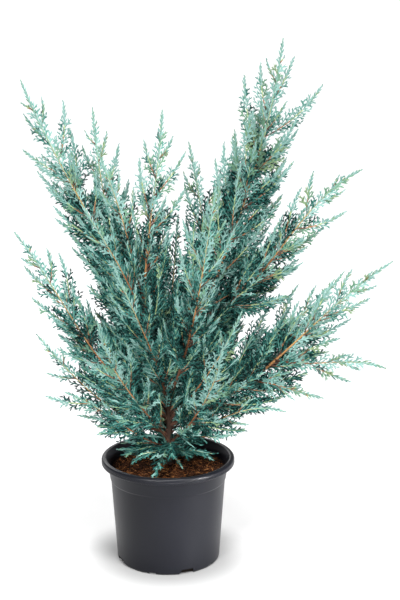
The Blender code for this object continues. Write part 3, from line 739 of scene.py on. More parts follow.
def distances_from(points, line):
    """How far each point is from a line."""
    starts = line[:-1]
    runs = line[1:] - starts
    share = ((points[:, None] - starts) * runs).sum(2) / (runs * runs).sum(1)
    nearest = starts + np.clip(share, 0.0, 1.0)[..., None] * runs
    return np.linalg.norm(points[:, None] - nearest, axis=2).min(1)


def plume_start(bough):
    """How far along its line a plume begins, clear of the trunk where it has no bough."""
    return bough.bare * LENGTHS[bough.name] if bough.bare > 0.0 else TRUNK_ROOM


STEMS = {bough.name: stretch(LINES[bough.name], plume_start(bough), LENGTHS[bough.name], STEM_SPACING)
         for bough in BOUGHS}
INNER_STEMS = {bough.name: stretch(LINES[bough.name], 0.0, LENGTHS[bough.name], STEM_SPACING) for bough in BOUGHS}
print("stems:", len(STEMS), "of", sum(len(line) for line in STEMS.values()), "points")

# %% Space of a plume
LEAF_ROOM = 0.008  # leaves keep this far from the trunk's middle line,
WALL_ROOM = 0.004  # this far from the pot's wall,
SOIL_ROOM = 0.001  # and this far over the potting mix
RIM_ROOM = 0.002  # and over the rim
SOIL_EDGE = 0.160
SIGHT_SLOPE = 0.34  # how much higher than the trunk a leaf stands that hides it, for each metre in front of it
WINDOW_SIDE = 0.010
WINDOW_HEIGHT = 0.246
WINDOW_HALF = 0.042


def free_room(points):
    """For each point, whether it is clear of the trunk, the pot and the potting mix and inside the plant's box."""
    x, y, z = points.T
    in_pot = (np.hypot(x, y) < inner_radius(SOIL_EDGE) - WALL_ROOM) & (z > SOIL_CROWN + SOIL_ROOM)
    in_box = (points > np.array(cad_low)).all(1) & (points < np.array(cad_high)).all(1)
    seen_at = z + SIGHT_SLOPE * y
    window = (y < 0.0) & (abs(x) < WINDOW_SIDE) & (abs(seen_at - WINDOW_HEIGHT) < WINDOW_HALF)
    free = (in_pot | (z > POT_HEIGHT + RIM_ROOM)) & in_box & ~window
    return free & (distances_from(points, TRUNK_LINE) > LEAF_ROOM)


def in_space(name, points, slack):
    """For each point, whether it may hold foliage of this plume, which may pass its border by the slack."""
    own = distances_from(points, INNER_STEMS[name]) - slack
    free = free_room(points)
    for other, line in STEMS.items():
        if other != name:
            free &= own < distances_from(points, line)
    return free


print("room at the crown's middle:", bool(free_room(np.array([[0.0, 0.05, 0.5]]))[0]))

# %% [markdown]
# ## Side shoots
# A shoot leaves the stem leaning forward by twenty to thirty-odd degrees, each one turned on round the stem from the
# last, and it is longer the further it is from the tip, which gives the plume its pointed outline. Shoots scattered
# at random would lose the plain model's shape. So its own rule is run again: every third shoot is one of its own.
# The whole and half steps between them carry shorter ones, which fill the plume behind its tip and get a little
# painted shade. The steps go on back along the bough, for short shoots inside the crown, whose leaves get more
# painted shade, and the trunk has a few too.

# %% Kinds of shoot
class Kind(NamedTuple):
    """What the shoots of one kind share."""

    slack: float  # how far they may pass their plume's border
    # painted shade, for shoots that stand behind the main ones or inside the crown
    painted_shade: float  # how much darker their leaves are
    bushy: float  # how much longer their last sprays are
    greenest: int  # the greenest finish that their twigs reach


class Shoot(NamedTuple):
    """One side shoot: a gently bowed line with a plane that its sprays spread in."""

    root: Vector
    tip: Vector
    bow: Vector
    across: Vector
    kind: Kind
    left: float  # from its root to its plume's tip

    def size(self):
        return (self.tip - self.root).length

    def at(self, share):
        """Places for shares of the way along, as rows."""
        share = np.asarray(share)[:, None]
        straight = np.array(self.root) * (1 - share) + np.array(self.tip) * share
        return straight + 4 * share * (1 - share) * np.array(self.bow)


# The second number of each kind is the painted shade of its leaves.
MAIN = Kind(0.014, 0.00, 0.000, 3)
BETWEEN = Kind(0.014, 0.22, 0.000, 3)
INNER = Kind(0.040, 0.40, 0.020, 2)
ON_TRUNK = Kind(0.150, 0.24, 0.040, 2)
print("darkest shoots:", max(kind.painted_shade for kind in (MAIN, BETWEEN, INNER, ON_TRUNK)))

# %% How long a shoot is
UNFILLED = 0.145  # this close to the plume's tip only main shoots grow,
FILLED = 0.150  # and this much further back the others have their full length
WHOLE_STEP = (0.45, 0.0)  # the least share of a main shoot, and how filled the plume is where they begin
HALF_STEP = (0.35, 0.30)


def share_of_main(k, left):
    """How long shoot k is beside a main one: every third is one, and the others fill the plume behind its tip."""
    if k % 3 == 0:
        return 1.0
    filled = min(max(left - UNFILLED, 0.0) / FILLED, 1.0)
    least, begins = WHOLE_STEP if k % 1 == 0 else HALF_STEP
    return least + 0.50 * filled if filled > begins else 0.0


print("shoots beside a main one, far from the tip:", share_of_main(1, 1.0), share_of_main(0.5, 1.0))

# %% Rule for a side shoot
SHOOT_SPACING = 0.0102
FIRST_SHOOT = 0.6  # of a spacing, from the plume's start
SHORTEST_SHOOT = 0.028
SHOOT_LEAN = (20, 34)
SHOOT_TURN = math.radians(60)
SHOOT_JITTER = math.radians(48)
SPRAY_ROLL = math.radians(30)
SHOOT_EVEN = (0.84, 1.0)
SHOOT_BOW = (0.03, 0.08)
TAPER = 0.160  # this far behind the tip the shoots have their full length,
LEADER_TIP = 0.026  # and this close to it they would have none
INNER_SHARE = 1.10
BEHIND = 0.60  # shoots between the main ones fan out less to the back,
BEFORE = 0.15  # and hardly to the front


def stem_frame(bough, distance):
    """The stem's place and direction there, with one direction across the view and one to the back."""
    line = LINES[bough.name]
    ahead = (walk(line, distance + 0.004) - walk(line, distance - 0.004)).normalized()
    side = ahead.cross(Vector((0.0, 1.0, 0.0))).normalized()
    return walk(line, distance), ahead, side, side.cross(ahead)


def side_shoot(bough, k, shorter=1.0):
    """Side shoot k of a plume, and for k below 0 one of the short inner shoots on its bough."""
    draw = random.Random(f"{bough.name} shoot {k}")
    distance = plume_start(bough) + (k + FIRST_SHOOT) * SHOOT_SPACING
    place, ahead, side, back = stem_frame(bough, distance)
    turn = k * SHOOT_TURN + draw.uniform(-SHOOT_JITTER, SHOOT_JITTER)
    lean = math.radians(draw.uniform(*SHOOT_LEAN))
    if k % 3 == 0:
        out = math.cos(turn) * side + math.sin(turn) * back
    else:
        depth = BEHIND if math.sin(turn) * back.y > 0.0 else BEFORE
        out = (math.cos(turn) * side + depth * math.sin(turn) * back).normalized()
    left = LENGTHS[bough.name] - distance
    size = bough.shoot * min((left - LEADER_TIP) / (TAPER - LEADER_TIP), 1.0) * draw.uniform(*SHOOT_EVEN)
    size = max(size, 0.5 * SHORTEST_SHOOT) * shorter * share_of_main(k, left)
    if k < 0:
        size *= INNER_SHARE
    run = math.cos(lean) * ahead + math.sin(lean) * out
    roll = draw.uniform(-SPRAY_ROLL, SPRAY_ROLL)
    across = Matrix.Rotation(roll, 3, run) @ run.cross(back).normalized()
    bow = (out - out.dot(run) * run).normalized() * size * draw.uniform(*SHOOT_BOW)
    kind = INNER if k < 0 else MAIN if k % 3 == 0 else BETWEEN
    return Shoot(place, place + size * run, bow, across, kind, left)


print("a shoot of the tallest bough:", round(side_shoot(BOUGHS[0], 3).size(), 3), "m long")

# %% Side shoots on the stems
PROBES = (0.45, 0.75, 1.0)  # shares of a shoot's length at which its room is tested
SHORTER = (1.0, 0.85, 0.7, 0.55, 0.4)
INNER_CLEAR = 0.020
LEAST_SHOOT = 0.010


def fitted_shoot(bough, k):
    """The longest form of the shoot that keeps to its plume's space, or None."""
    for shorter in SHORTER:
        shoot = side_shoot(bough, k, shorter)
        if in_space(bough.name, shoot.at(PROBES), shoot.kind.slack).all():
            return shoot
    return None


def shoots_of(bough):
    """Every whole and half step along the plume, and back along its bough for the inner shoots."""
    count = int((LENGTHS[bough.name] - plume_start(bough) - SHORTEST_SHOOT) / SHOOT_SPACING)
    inner = int((plume_start(bough) - INNER_CLEAR) / SHOOT_SPACING) if bough.bare > 0 else 0
    steps = [step / 2 if step % 2 else step // 2 for step in range(-2 * inner, 2 * count)]
    grown = [fitted_shoot(bough, k) for k in steps]
    return [shoot for shoot in grown if shoot and shoot.size() > LEAST_SHOOT]


SHOOTS = {bough.name: shoots_of(bough) for bough in BOUGHS}
print("side shoots on stems:", sum(len(found) for found in SHOOTS.values()))

# %% Shoots on the trunk
TRUNK_SHOOTS = 74
TRUNK_SHOOT_SIZES = (0.050, 0.084)
LOWEST_SHOOT = 0.014
SHOOTS_SPAN = 0.100
STEEPER = 68  # degrees that the highest ones climb more than the lowest
BARE_FRONT = 24  # degrees to either side of the front that stay bare,
BARE_ABOVE = 0.3  # above this share of the way up
GOLDEN_TURN = 137.5


def trunk_shoot(k):
    """A short shoot on the trunk itself, one of those that hide it, and the name of the skirt that it joins."""
    draw = random.Random(f"trunk shoot {k}")
    swing = math.sin(k * 2.4)
    height = k / TRUNK_SHOOTS
    bare = BARE_FRONT if height > BARE_ABOVE else 0
    heading = -90 + math.copysign(bare + 88 * abs(swing), swing) if k % 3 else k * GOLDEN_TURN
    place = walk(TRUNK_LINE, LOWEST_SHOOT + SHOOTS_SPAN * height)
    run = heading_vector(heading, draw.uniform(-12, 14) + STEEPER * height)
    across = run.cross(Vector((0.0, 0.0, 1.0))).normalized()
    size = draw.uniform(*TRUNK_SHOOT_SIZES)
    skirts = [bough for bough in BOUGHS if bough.name.startswith("skirt")]
    nearest = min(skirts, key=lambda bough: abs((bough.heading - heading + 180) % 360 - 180))
    bow = Vector((0.0, 0.0, 1.0)) * size * draw.uniform(0.02, 0.12)
    return nearest.name, Shoot(place, place + size * run, bow, across, ON_TRUNK, TRUNK_TOP)


for k in range(TRUNK_SHOOTS):
    skirt, shoot = trunk_shoot(k)
    if free_room(shoot.at(PROBES)).all():
        SHOOTS[skirt].append(shoot)
print("all side shoots:", sum(len(found) for found in SHOOTS.values()))

# %% [markdown]
# ## Sprays and scale leaves
# A juniper of this kind has no needles to speak of. Its finest twigs are clad in tiny overlapping scales, so each
# looks like a short plump cord, and they fork again and again into flat sprays. Drawing every scale would take many
# millions of faces. One cord is a three-sided spindle of nine faces, made once and copied along the twigs by arrays,
# because particles and instances would be lost when the model is exported. Deep in a plume the sprays open wider,
# and close to a tip short cords hug the twig, so that a shoot ends in a leafy point and not in a bare stick.

# %% One cord
def unit_cord():
    """A three-sided cord along Z, of unit length and width, thickest past its middle, as places and corners."""
    mesh = bmesh.new()
    bmesh.ops.create_cone(mesh, segments=3, radius1=0.36, radius2=0.5, depth=0.62, cap_ends=False)
    bmesh.ops.translate(mesh, verts=mesh.verts, vec=(0, 0, 0.31))
    tip = bmesh.ops.create_cone(mesh, segments=3, radius1=0.5, radius2=0.0, depth=0.38, cap_ends=False)["verts"]
    bmesh.ops.translate(mesh, verts=tip, vec=(0, 0, 0.81))
    bmesh.ops.remove_doubles(mesh, verts=mesh.verts, dist=0.001)
    bmesh.ops.triangulate(mesh, faces=mesh.faces)
    bmesh.ops.recalc_face_normals(mesh, faces=mesh.faces)
    mesh.verts.index_update()
    places = np.array([vert.co for vert in mesh.verts])
    corners = np.array([[vert.index for vert in face.verts] for face in mesh.faces])
    mesh.free()
    return places, corners


CORD, CORD_FACES = unit_cord()
print("cord:", len(CORD_FACES), "faces")

# %% Many cords as one mesh
def unit(rows):
    """Each row as a direction of length one."""
    return rows / np.linalg.norm(rows, axis=-1, keepdims=True)


def mesh_from_arrays(name, verts, faces, finish):
    """A mesh of triangles straight from arrays, with the finish of each."""
    data = bpy.data.meshes.new(name)
    data.vertices.add(verts.size // 3)
    data.vertices.foreach_set("co", verts.astype(np.float32).ravel())
    data.loops.add(faces.size)
    data.loops.foreach_set("vertex_index", faces.astype(np.int32).ravel())
    data.polygons.add(faces.size // 3)
    data.polygons.foreach_set("loop_start", np.arange(0, faces.size, 3, dtype=np.int32))
    data.polygons.foreach_set("material_index", finish.astype(np.int32).ravel())
    data.update(calc_edges=True)
    data.shade_flat()
    return data


def cord_mesh(name, root, aim, flat, size, width, flatness, finish):
    """Cords of these lengths and widths, each from its root along its aim, with one side towards its flat."""
    flat = unit(flat - (flat * aim).sum(1, keepdims=True) * aim)
    side = np.cross(flat, aim)
    width = width[:, None, None]
    verts = (root[:, None] + CORD[None, :, :1] * width * side[:, None]
             + CORD[None, :, 1:2] * width * flatness * flat[:, None]
             + CORD[None, :, 2:] * size[:, None, None] * aim[:, None])
    faces = CORD_FACES[None] + (np.arange(len(root)) * len(CORD))[:, None, None]
    return mesh_from_arrays(name, verts, faces, np.repeat(finish, len(CORD_FACES)))

# %% Lengths and leans of sprays
SINGLE_CORD = 0.0110
HUGGING_CORD = 0.0080
HUGGING_LEAN = 0.4
SPRAY_EVEN = (0.80, 1.10)


class Sprays(NamedTuple):
    """Many sprays: every column has one row for each."""

    root: np.ndarray
    aim: np.ndarray
    length: np.ndarray
    normal: np.ndarray  # of the plane that it spreads in
    depth: np.ndarray  # 0 at its shoot's tip and 1 deep inside
    painted_shade: np.ndarray
    mood: np.ndarray  # one number for all the sprays of a shoot, so that they look alike
    slack: np.ndarray


def with_hugging(distances, hugging):
    """The distances of the sprays and then those of the cords that hug the tip, and which of them hug."""
    both = np.concatenate([distances, hugging])
    return both, np.arange(len(both)) >= len(distances)


def spray_leans(left, widest, hugging, rng):
    """How far each spray leans out, more the further it is from the tip."""
    lean = np.radians(rng.uniform(-5, 5, len(left)) + np.interp(left, (0.01, 0.06), (14, widest)))
    lean[hugging] *= HUGGING_LEAN
    return lean[:, None]


def spray_lengths(left, lengths, hugging, rng):
    """Two sprays and two single cords by turns, each spray longer the further it is from the tip."""
    length = np.interp(left, *lengths)
    single = np.arange(len(left)) % 4 > 1
    length = np.where(single, np.minimum(length, SINGLE_CORD), length) * rng.uniform(*SPRAY_EVEN, len(left))
    return np.where(hugging, np.minimum(length, HUGGING_CORD), length)


print("a spray has", len(Sprays._fields), "columns:", ", ".join(Sprays._fields))

# %% Sprays of a shoot
SPRAY_SPACING = 0.0038
FIRST_SPRAY = 0.008
SPRAY_LENGTHS = (0.008, 0.018, 0.034, 0.038, 0.070, 0.110), (0.0045, 0.0110, 0.0130, 0.0175, 0.028, 0.040)
WIDEST_SPRAY = 30
SPRAY_TILT = 28
FULL_DEPTH = 0.110
PALE_TOP = 0.26  # this close to its plume's tip a shoot is lit like a tip itself
CLAD_TIP = 0.046
CLAD_SPACING = 0.0044


def shoot_sprays(shoot, rng):
    """The sprays on both sides of a shoot, or None where it is too short for any."""
    size = shoot.size()
    distances = np.arange(FIRST_SPRAY, size - 0.003, SPRAY_SPACING)
    if not len(distances):
        return None
    close = np.arange(max(size - CLAD_TIP, FIRST_SPRAY), size - 0.002, CLAD_SPACING)
    distances, hugging = with_hugging(distances, close)
    count = len(distances)
    share = distances / size
    ahead = unit(shoot.at(share + 0.01) - shoot.at(share - 0.01))
    across = unit(np.array(shoot.across)[None] - (ahead @ np.array(shoot.across))[:, None] * ahead)
    way = np.where(np.arange(count) % 2, 1.0, -1.0)[:, None]
    lean = spray_leans(size - distances, WIDEST_SPRAY, hugging, rng)
    tilt = (np.radians(rng.uniform(-SPRAY_TILT, SPRAY_TILT, count)) * (1.0 - 0.7 * share))[:, None]
    out = way * np.cos(tilt) * across + np.sin(tilt) * np.cross(ahead, across)
    aim = unit(np.cos(lean) * ahead + np.sin(lean) * out)
    length = spray_lengths(size - distances + shoot.kind.bushy, SPRAY_LENGTHS, hugging, rng)
    top = min(shoot.left / PALE_TOP, 1.0)
    depth = np.minimum((size - distances) / FULL_DEPTH, top)
    normal = unit(np.cross(ahead, aim) * way)
    return Sprays(shoot.at(share), aim, length, normal, depth, np.full(count, shoot.kind.painted_shade * top),
                  np.full(count, rng.random()), np.full(count, shoot.kind.slack))


print("longest spray:", SPRAY_LENGTHS[1][-1], "m")

# %% Sprays of a stem
LEADER_SPRAY_LENGTHS = (0.010, 0.022, 0.042, 0.046, 0.130), (0.0045, 0.0110, 0.0130, 0.0175, 0.030)
WIDEST_ON_STEM = 28
CLAD_LEADER = 0.090
STEM_DEPTH = 0.3
STEM_STEP = 0.003


def stem_sprays(bough, rng):
    """The short sprays that stand straight on a plume's stem, all round it, down to its tip."""
    total = LENGTHS[bough.name]
    line = LINES[bough.name]
    distances = np.arange(plume_start(bough) + 0.004, total - 0.005, SPRAY_SPACING)
    close = np.arange(total - CLAD_LEADER, total - 0.004, 0.8 * CLAD_SPACING)
    distances, hugging = with_hugging(distances, close)
    count = len(distances)
    after, before = np.maximum(distances, 0.0) + STEM_STEP, distances - STEM_STEP
    ahead = unit(places_along(line, after) - places_along(line, before))
    side = unit(np.cross(ahead, np.array([0.0, 1.0, 0.0])))
    turn = (np.arange(count) * math.pi + rng.uniform(-0.7, 0.7, count))[:, None]
    out = np.cos(turn) * side + np.sin(turn) * np.cross(side, ahead)
    lean = spray_leans(total - distances, WIDEST_ON_STEM, hugging, rng)
    aim = unit(np.cos(lean) * ahead + np.sin(lean) * out)
    length = spray_lengths(total - distances, LEADER_SPRAY_LENGTHS, hugging, rng)
    normal = unit(np.cross(ahead, aim))
    return Sprays(places_along(line, distances), aim, length, normal, np.full(count, STEM_DEPTH),
                  np.zeros(count), 0.16 + 0.6 * rng.random(count), np.full(count, MAIN.slack))


def plume_sprays(bough, rng):
    """Every spray of a plume whose tip is in the plume's own space."""
    sets = [stem_sprays(bough, rng)] + [shoot_sprays(shoot, rng) for shoot in SHOOTS[bough.name]]
    sprays = Sprays(*(np.concatenate(columns) for columns in zip(*filter(None, sets))))
    kept = in_space(bough.name, sprays.root + sprays.length[:, None] * sprays.aim, sprays.slack)
    return Sprays(*(column[kept] for column in sprays))


print("sprays on the tallest stem:", len(stem_sprays(BOUGHS[0], np.random.default_rng(0)).length))

# %% Branch into cords
CORD_LEANS = (15, 28)
CORD_LIFT = 0.16


class Cords(NamedTuple):
    """Many cords: every column has one row for each."""

    root: np.ndarray
    aim: np.ndarray
    flat: np.ndarray  # the normal of its spray's plane
    size: np.ndarray
    spray: np.ndarray  # the number of its spray


def branch(carriers, at, size, opening, rng):
    """Small cords on both sides of every carrier, at distances along it. Those with no size are left out."""
    root, aim, flat, _, spray = carriers
    side = np.cross(flat, aim)[:, None]
    way = np.where((np.arange(at.shape[1])[None] + np.arange(len(root))[:, None]) % 2, 1.0, -1.0)[..., None]
    lean = np.radians(rng.uniform(*CORD_LEANS, at.shape) + opening[spray][:, None])[..., None]
    lift = rng.uniform(-CORD_LIFT, CORD_LIFT, at.shape)[..., None]
    out = unit(np.cos(lean) * aim[:, None] + np.sin(lean) * (way * side + lift * flat[:, None]))
    start = root[:, None] + at[..., None] * aim[:, None]
    flats = np.broadcast_to(flat[:, None], start.shape)
    sprays = np.broadcast_to(spray[:, None], at.shape)
    return Cords(*(column[size > 0] for column in (start, out, flats, size, sprays)))


print("a cord has", len(Cords._fields), "columns:", ", ".join(Cords._fields))

# %% The cords of a spray
FIRST_CORD = 0.0022
LAST_CORD = 0.0045
CORD_SPACING = 0.0051
CORD_JITTER = 0.0004
CORDS_AT_MOST = 8
CORD_SIZES = (0.0064, 0.0110)
OPENED = 14  # degrees that a deep spray's cords lean out more
CORD_CLAD = 0.0150  # a shorter spray has no side cords
FORKED_CORD = 0.0092  # a shorter cord has no forks
FORKS_AT = (0.32, 0.56)
UNEVEN = (0.85, 1.15)


def cords_of(sprays, rng):
    """A spray's own axis, its side cords and the forks of the long ones."""
    length = sprays.length[:, None]
    axes = Cords(sprays.root, sprays.aim, sprays.normal, sprays.length, np.arange(len(length)))
    opening = OPENED * np.clip(2.0 * sprays.depth, 0.0, 1.0)
    jitter = rng.uniform(-CORD_JITTER, CORD_JITTER, (len(length), CORDS_AT_MOST))
    at = FIRST_CORD + CORD_SPACING * np.arange(CORDS_AT_MOST) + jitter
    size = np.clip(0.34 * (length - at) + 0.0050, *CORD_SIZES) * rng.uniform(*UNEVEN, at.shape)
    side_cords = np.where((length - at > LAST_CORD) & (length > CORD_CLAD), size, 0.0)
    cords = branch(axes, at, side_cords, opening, rng)
    forked = Cords(*(column[cords.size > FORKED_CORD] for column in cords))
    at = forked.size[:, None] * np.array([FORKS_AT])
    size = (0.5 * (forked.size[:, None] - at) + 0.0014) * rng.uniform(*UNEVEN, at.shape)
    forks = branch(forked, at, size, opening, rng)
    return Cords(*(np.concatenate(columns) for columns in zip(axes, cords, forks)))


print("cords on a long spray:", 1 + int((SPRAY_LENGTHS[1][-1] - FIRST_CORD) / CORD_SPACING), "and their forks")

# %% [markdown]
# ## Blue-green, dealt out by spray
# The foliage is blue-green with a silvery bloom on the outer sprays, plainer green on some young tips and a few
# yellowish ones. A texture could vary it, but on so many tiny faces it would turn to noise when exported, so there
# are six plain finishes and each spray is dealt one of them. The odds follow where it stands: paler near a tip;
# paler high up and in front, as painted light; and darker inside, low down and behind, down to a deep teal, as
# painted shade. The sprays of one shoot share a mood, so whole shoots stand out from each other as they do on the
# plant.

# %% Foliage finishes
TINTS = {
    "yellow_tip": (0.200, 0.300, 0.165),
    "fresh_green": (0.140, 0.275, 0.185),
    "silver_blue": (0.224, 0.388, 0.352),
    "blue_green": (0.100, 0.260, 0.220),
    # The last two tints are painted shade inside the crown; the first of them is also a darker tone of the foliage
    # itself.
    "soft_teal": (0.022, 0.110, 0.094),
    "deep_teal": (0.002, 0.018, 0.016),
}
LEAF_FINISHES = [plain_material(name, colour, 0.62, 0.15) for name, colour in TINTS.items()]
print("leaf finishes:", len(LEAF_FINISHES))

# %% How much painted shade a spray gets
# The crown's own shade is painted into the tints: more low down, inside, underneath, behind and deep along a shoot,
# less in front.
MIDDLE_HEIGHT = 0.34  # from here up the crown gets lighter
PLAIN_PAINTED_SHADE = 0.08
INSIDE_PAINTED_SHADE = 1.00
UNDER_PAINTED_SHADE = 0.34
BEHIND_PAINTED_SHADE = 0.55
FRONT_PAINTED_LIGHT = 0.90


def part_of(value, span):
    """How much of a span a value fills, from 0 to 1."""
    return np.clip(value / span, 0.0, 1.0)


def painted_darkness(sprays, out):
    """How much painted shade each spray gets, from 0 to 1, where out is how far it stands out from the crown's axis.
    """
    _, y, z = sprays.root.T
    low = 1.0 - part_of(z - MIDDLE_HEIGHT, 0.32)
    inside = part_of(1.30 - out, 1.0)
    behind = part_of(y + 0.040, 0.100) * part_of(1.4 - out, 1.0)
    hidden = 1.0 - FRONT_PAINTED_LIGHT * part_of(-0.045 - y, 0.060)
    under = part_of(0.42 - z, 0.12)
    # painted shade where the crown shades itself, lifted by painted light in front
    dark = PLAIN_PAINTED_SHADE + low * (0.12 + hidden * (INSIDE_PAINTED_SHADE * inside + UNDER_PAINTED_SHADE * under) + BEHIND_PAINTED_SHADE * behind)
    # and more painted shade deep along a shoot and on the shoots of a shaded kind
    dark += (0.70 + 0.80 * low) * (hidden * (sprays.depth - 0.20) + sprays.painted_shade)
    return np.clip(dark, 0.0, 1.0)[:, None]


some = stem_sprays(BOUGHS[0], np.random.default_rng(0))
print("darkness up the tallest stem:", np.round(painted_darkness(some, np.ones(len(some.mood)))[::40, 0], 2))

# %% Deal out the tints
# odds for sprays with no painted shade
LIT_ODDS = (0.03, 0.12, 0.45, 0.31, 0.09, 0.00)
FRESHER = (0.10, 0.22, 0.10, 0.00, 0.00, 0.00)  # added high up and at the right
# odds for sprays in the deepest painted shade
PAINTED_SHADE_ODDS = (0.01, 0.03, 0.05, 0.13, 0.28, 0.50)
TIP_ODDS = (0.06, 0.30, 0.04, 0.50, 0.10, 0.00)
SAME_MOOD = 0.34  # how far a spray's luck may stray from its shoot's mood
CROWN_FOOT = 0.18
CROWN_RADIUS = 0.07  # at its foot
CROWN_SPREAD = 0.40  # how much wider it is for each metre of height


def deal_tints(sprays, rng):
    """A tint for each spray, drawn by odds that go from those of lit outer sprays to those of painted shade inside,
    and to a tip's own.
    """
    x, y, z = sprays.root.T
    out = np.hypot(x, y) / (CROWN_RADIUS + CROWN_SPREAD * np.clip(z - CROWN_FOOT, 0.0, None))
    dark = painted_darkness(sprays, out)
    fresh = part_of(part_of(z - 0.52, 0.30) + part_of(x - 0.02, 0.30), 1.0)[:, None] * (1 - dark)
    odds = np.array(LIT_ODDS) * (1 - dark) + np.array(PAINTED_SHADE_ODDS) * dark + np.array(FRESHER) * fresh
    tip = 1.0 - part_of(sprays.depth + sprays.painted_shade, 0.30)[:, None]
    odds = odds * (1 - tip) + np.array(TIP_ODDS) * tip
    # The darkest tint of painted shade is kept to deep painted shade and off the crown's upper outline.
    edge = part_of(out - 0.85, 0.35) * part_of(z - MIDDLE_HEIGHT, 0.10)
    odds[:, -1:] *= part_of(dark - 0.25, 0.35) * (1.0 - edge[:, None])
    odds = np.cumsum(odds, axis=1)
    luck = (sprays.mood + SAME_MOOD * rng.uniform(-1.0, 1.0, len(dark))) % 1.0
    return (luck[:, None] * odds[:, -1:] > odds).sum(1)


print("odds of the deepest tint, outside and inside:", LIT_ODDS[-1], PAINTED_SHADE_ODDS[-1])

# %% Grow a plume
PALEST_AXIS = 2  # the number of the palest tint that an axis is lifted to
PLUMES = [bough.name for bough in BOUGHS]


def grow(name):
    """All cords of a plume, with the tint of each. A spray's own axis is one tint paler than its cords."""
    number = PLUMES.index(name)
    rng = np.random.default_rng([number, 7])
    sprays = plume_sprays(BOUGHS[number], rng)
    tint = deal_tints(sprays, rng)
    cords = cords_of(sprays, rng)
    tint = tint[cords.spray]
    is_axis = np.arange(len(tint)) < len(sprays.length)
    return *cords[:4], tint - (is_axis & (tint > PALEST_AXIS))


print("cords of the front skirt:", len(grow("skirt_front")[0]))

# %% Foliage in eight pieces
CORD_WIDTH = 0.0025
CORD_THICKNESS = 0.0020
WIDEST_SHARE = 0.42  # of a short cord's length
GROUPS = {
    "right_tall": ("right_tall",),
    "right_upper": ("right_upper", "back_right", "back_low_right"),
    "right_low": ("right_mid", "right_inner", "right_low", "right_bottom", "right_floor"),
    "left_tall": ("left_tall", "left_inner"),
    "left_low": ("left_mid", "left_low", "left_bottom"),
    "middle": ("centre", "centre_back", "centre_left", "front_left_high"),
    "front": ("front_centre", "front_left", "front_right", "front_low_right", "front_low_left",
              "skirt_front", "skirt_right", "skirt_left"),
    "back": ("back_left", "back_middle", "back_low_left", "back_low", "skirt_back"),
}


def make_foliage():
    """One piece of cords for each group of plumes."""
    for group, names in GROUPS.items():
        name = "scale_leaves_" + group
        root, aim, flat, size, tint = (np.concatenate(columns) for columns in zip(*map(grow, names)))
        width = np.minimum(CORD_WIDTH, WIDEST_SHARE * size)
        data = cord_mesh(name, root, aim, flat, size, width, CORD_THICKNESS / CORD_WIDTH, tint)
        piece(name, data, LEAF_FINISHES, ["foliage_" + plume for plume in names])


make_foliage()

# %% [markdown]
# ## Twigs that carry the sprays
# The shoots' own axes show as fine lines: brown where they leave the stem, orange-brown further on and pale
# yellow-green at the end. A bevelled curve for each would be heavy, so each is a three-sided tube of six rings,
# and all of them are joined in one mesh from arrays.

# %% One twig
TWIG_STATIONS = 6
TWIG_SIDES = 3


def twig_corners():
    """The triangles of one twig: a strip between each pair of rings and a cap at each end."""
    ring = np.arange(TWIG_SIDES)
    after = np.roll(ring, -1)
    strip = np.concatenate([np.stack([ring, after, after + TWIG_SIDES], 1),
                            np.stack([ring, after + TWIG_SIDES, ring + TWIG_SIDES], 1)])
    sides = (strip[None] + TWIG_SIDES * np.arange(TWIG_STATIONS - 1)[:, None, None]).reshape(-1, 3)
    last = TWIG_SIDES * (TWIG_STATIONS - 1)
    return np.concatenate([sides, [[2, 1, 0], [last, last + 1, last + 2]]])


print("twig:", len(twig_corners()), "faces")

# %% Twigs
TWIG_RADII = (0.0012, 0.0009)
TWIG_FINISHES = [
    plain_material("old_twig", (0.085, 0.036, 0.021), 0.8),
    plain_material("orange_twig", (0.280, 0.130, 0.058), 0.75),
    plain_material("young_twig", (0.330, 0.400, 0.180), 0.7),
    plain_material("leaf_clad_twig", (0.220, 0.360, 0.330), 0.7),
]


def make_twigs():
    """Every shoot's axis, with an older finish near its root."""
    shoots = [shoot for found in SHOOTS.values() for shoot in found]
    share = np.linspace(0.0, 0.98, TWIG_STATIONS)
    places = np.stack([shoot.at(share) for shoot in shoots])
    ahead = unit(np.array([shoot.tip - shoot.root for shoot in shoots]))[:, None, None]
    across = np.array([shoot.across for shoot in shoots])[:, None, None]
    radii = (TWIG_RADII[0] * (1.0 - share) + TWIG_RADII[1] * share)[None, :, None, None]
    turn = (np.arange(TWIG_SIDES) * math.tau / TWIG_SIDES)[None, None, :, None]
    verts = places[:, :, None] + radii * (np.cos(turn) * across + np.sin(turn) * np.cross(ahead, across))
    corners = twig_corners()
    faces = corners[None] + (np.arange(len(shoots)) * TWIG_SIDES * TWIG_STATIONS)[:, None, None]
    station = corners.min(1) // TWIG_SIDES
    greenest = np.array([shoot.kind.greenest for shoot in shoots])
    return mesh_from_arrays("twigs", verts, faces, np.minimum(station[None], greenest[:, None]))


piece("twigs", make_twigs(), TWIG_FINISHES, ())

# %% [markdown]
# ## Potting mix
# The pot is filled with shredded bark and coir, dark and moist. A flat disc would look poured. So the filling is
# spun like the pot and its top pushed up and down by a noise, for the lumps, and a few thousand loose fibres and
# chips lie scattered on it, each a slim pointed sliver, for the rough fibrous look.

# %% Soil
SOIL_MIDDLE = 0.162
SOIL_SKIN = 0.150  # above this height it is the surface that shows
SOIL_TOP = 0.159
COARSE_LUMPS = 0.0016
FINE_LUMPS = 0.0010


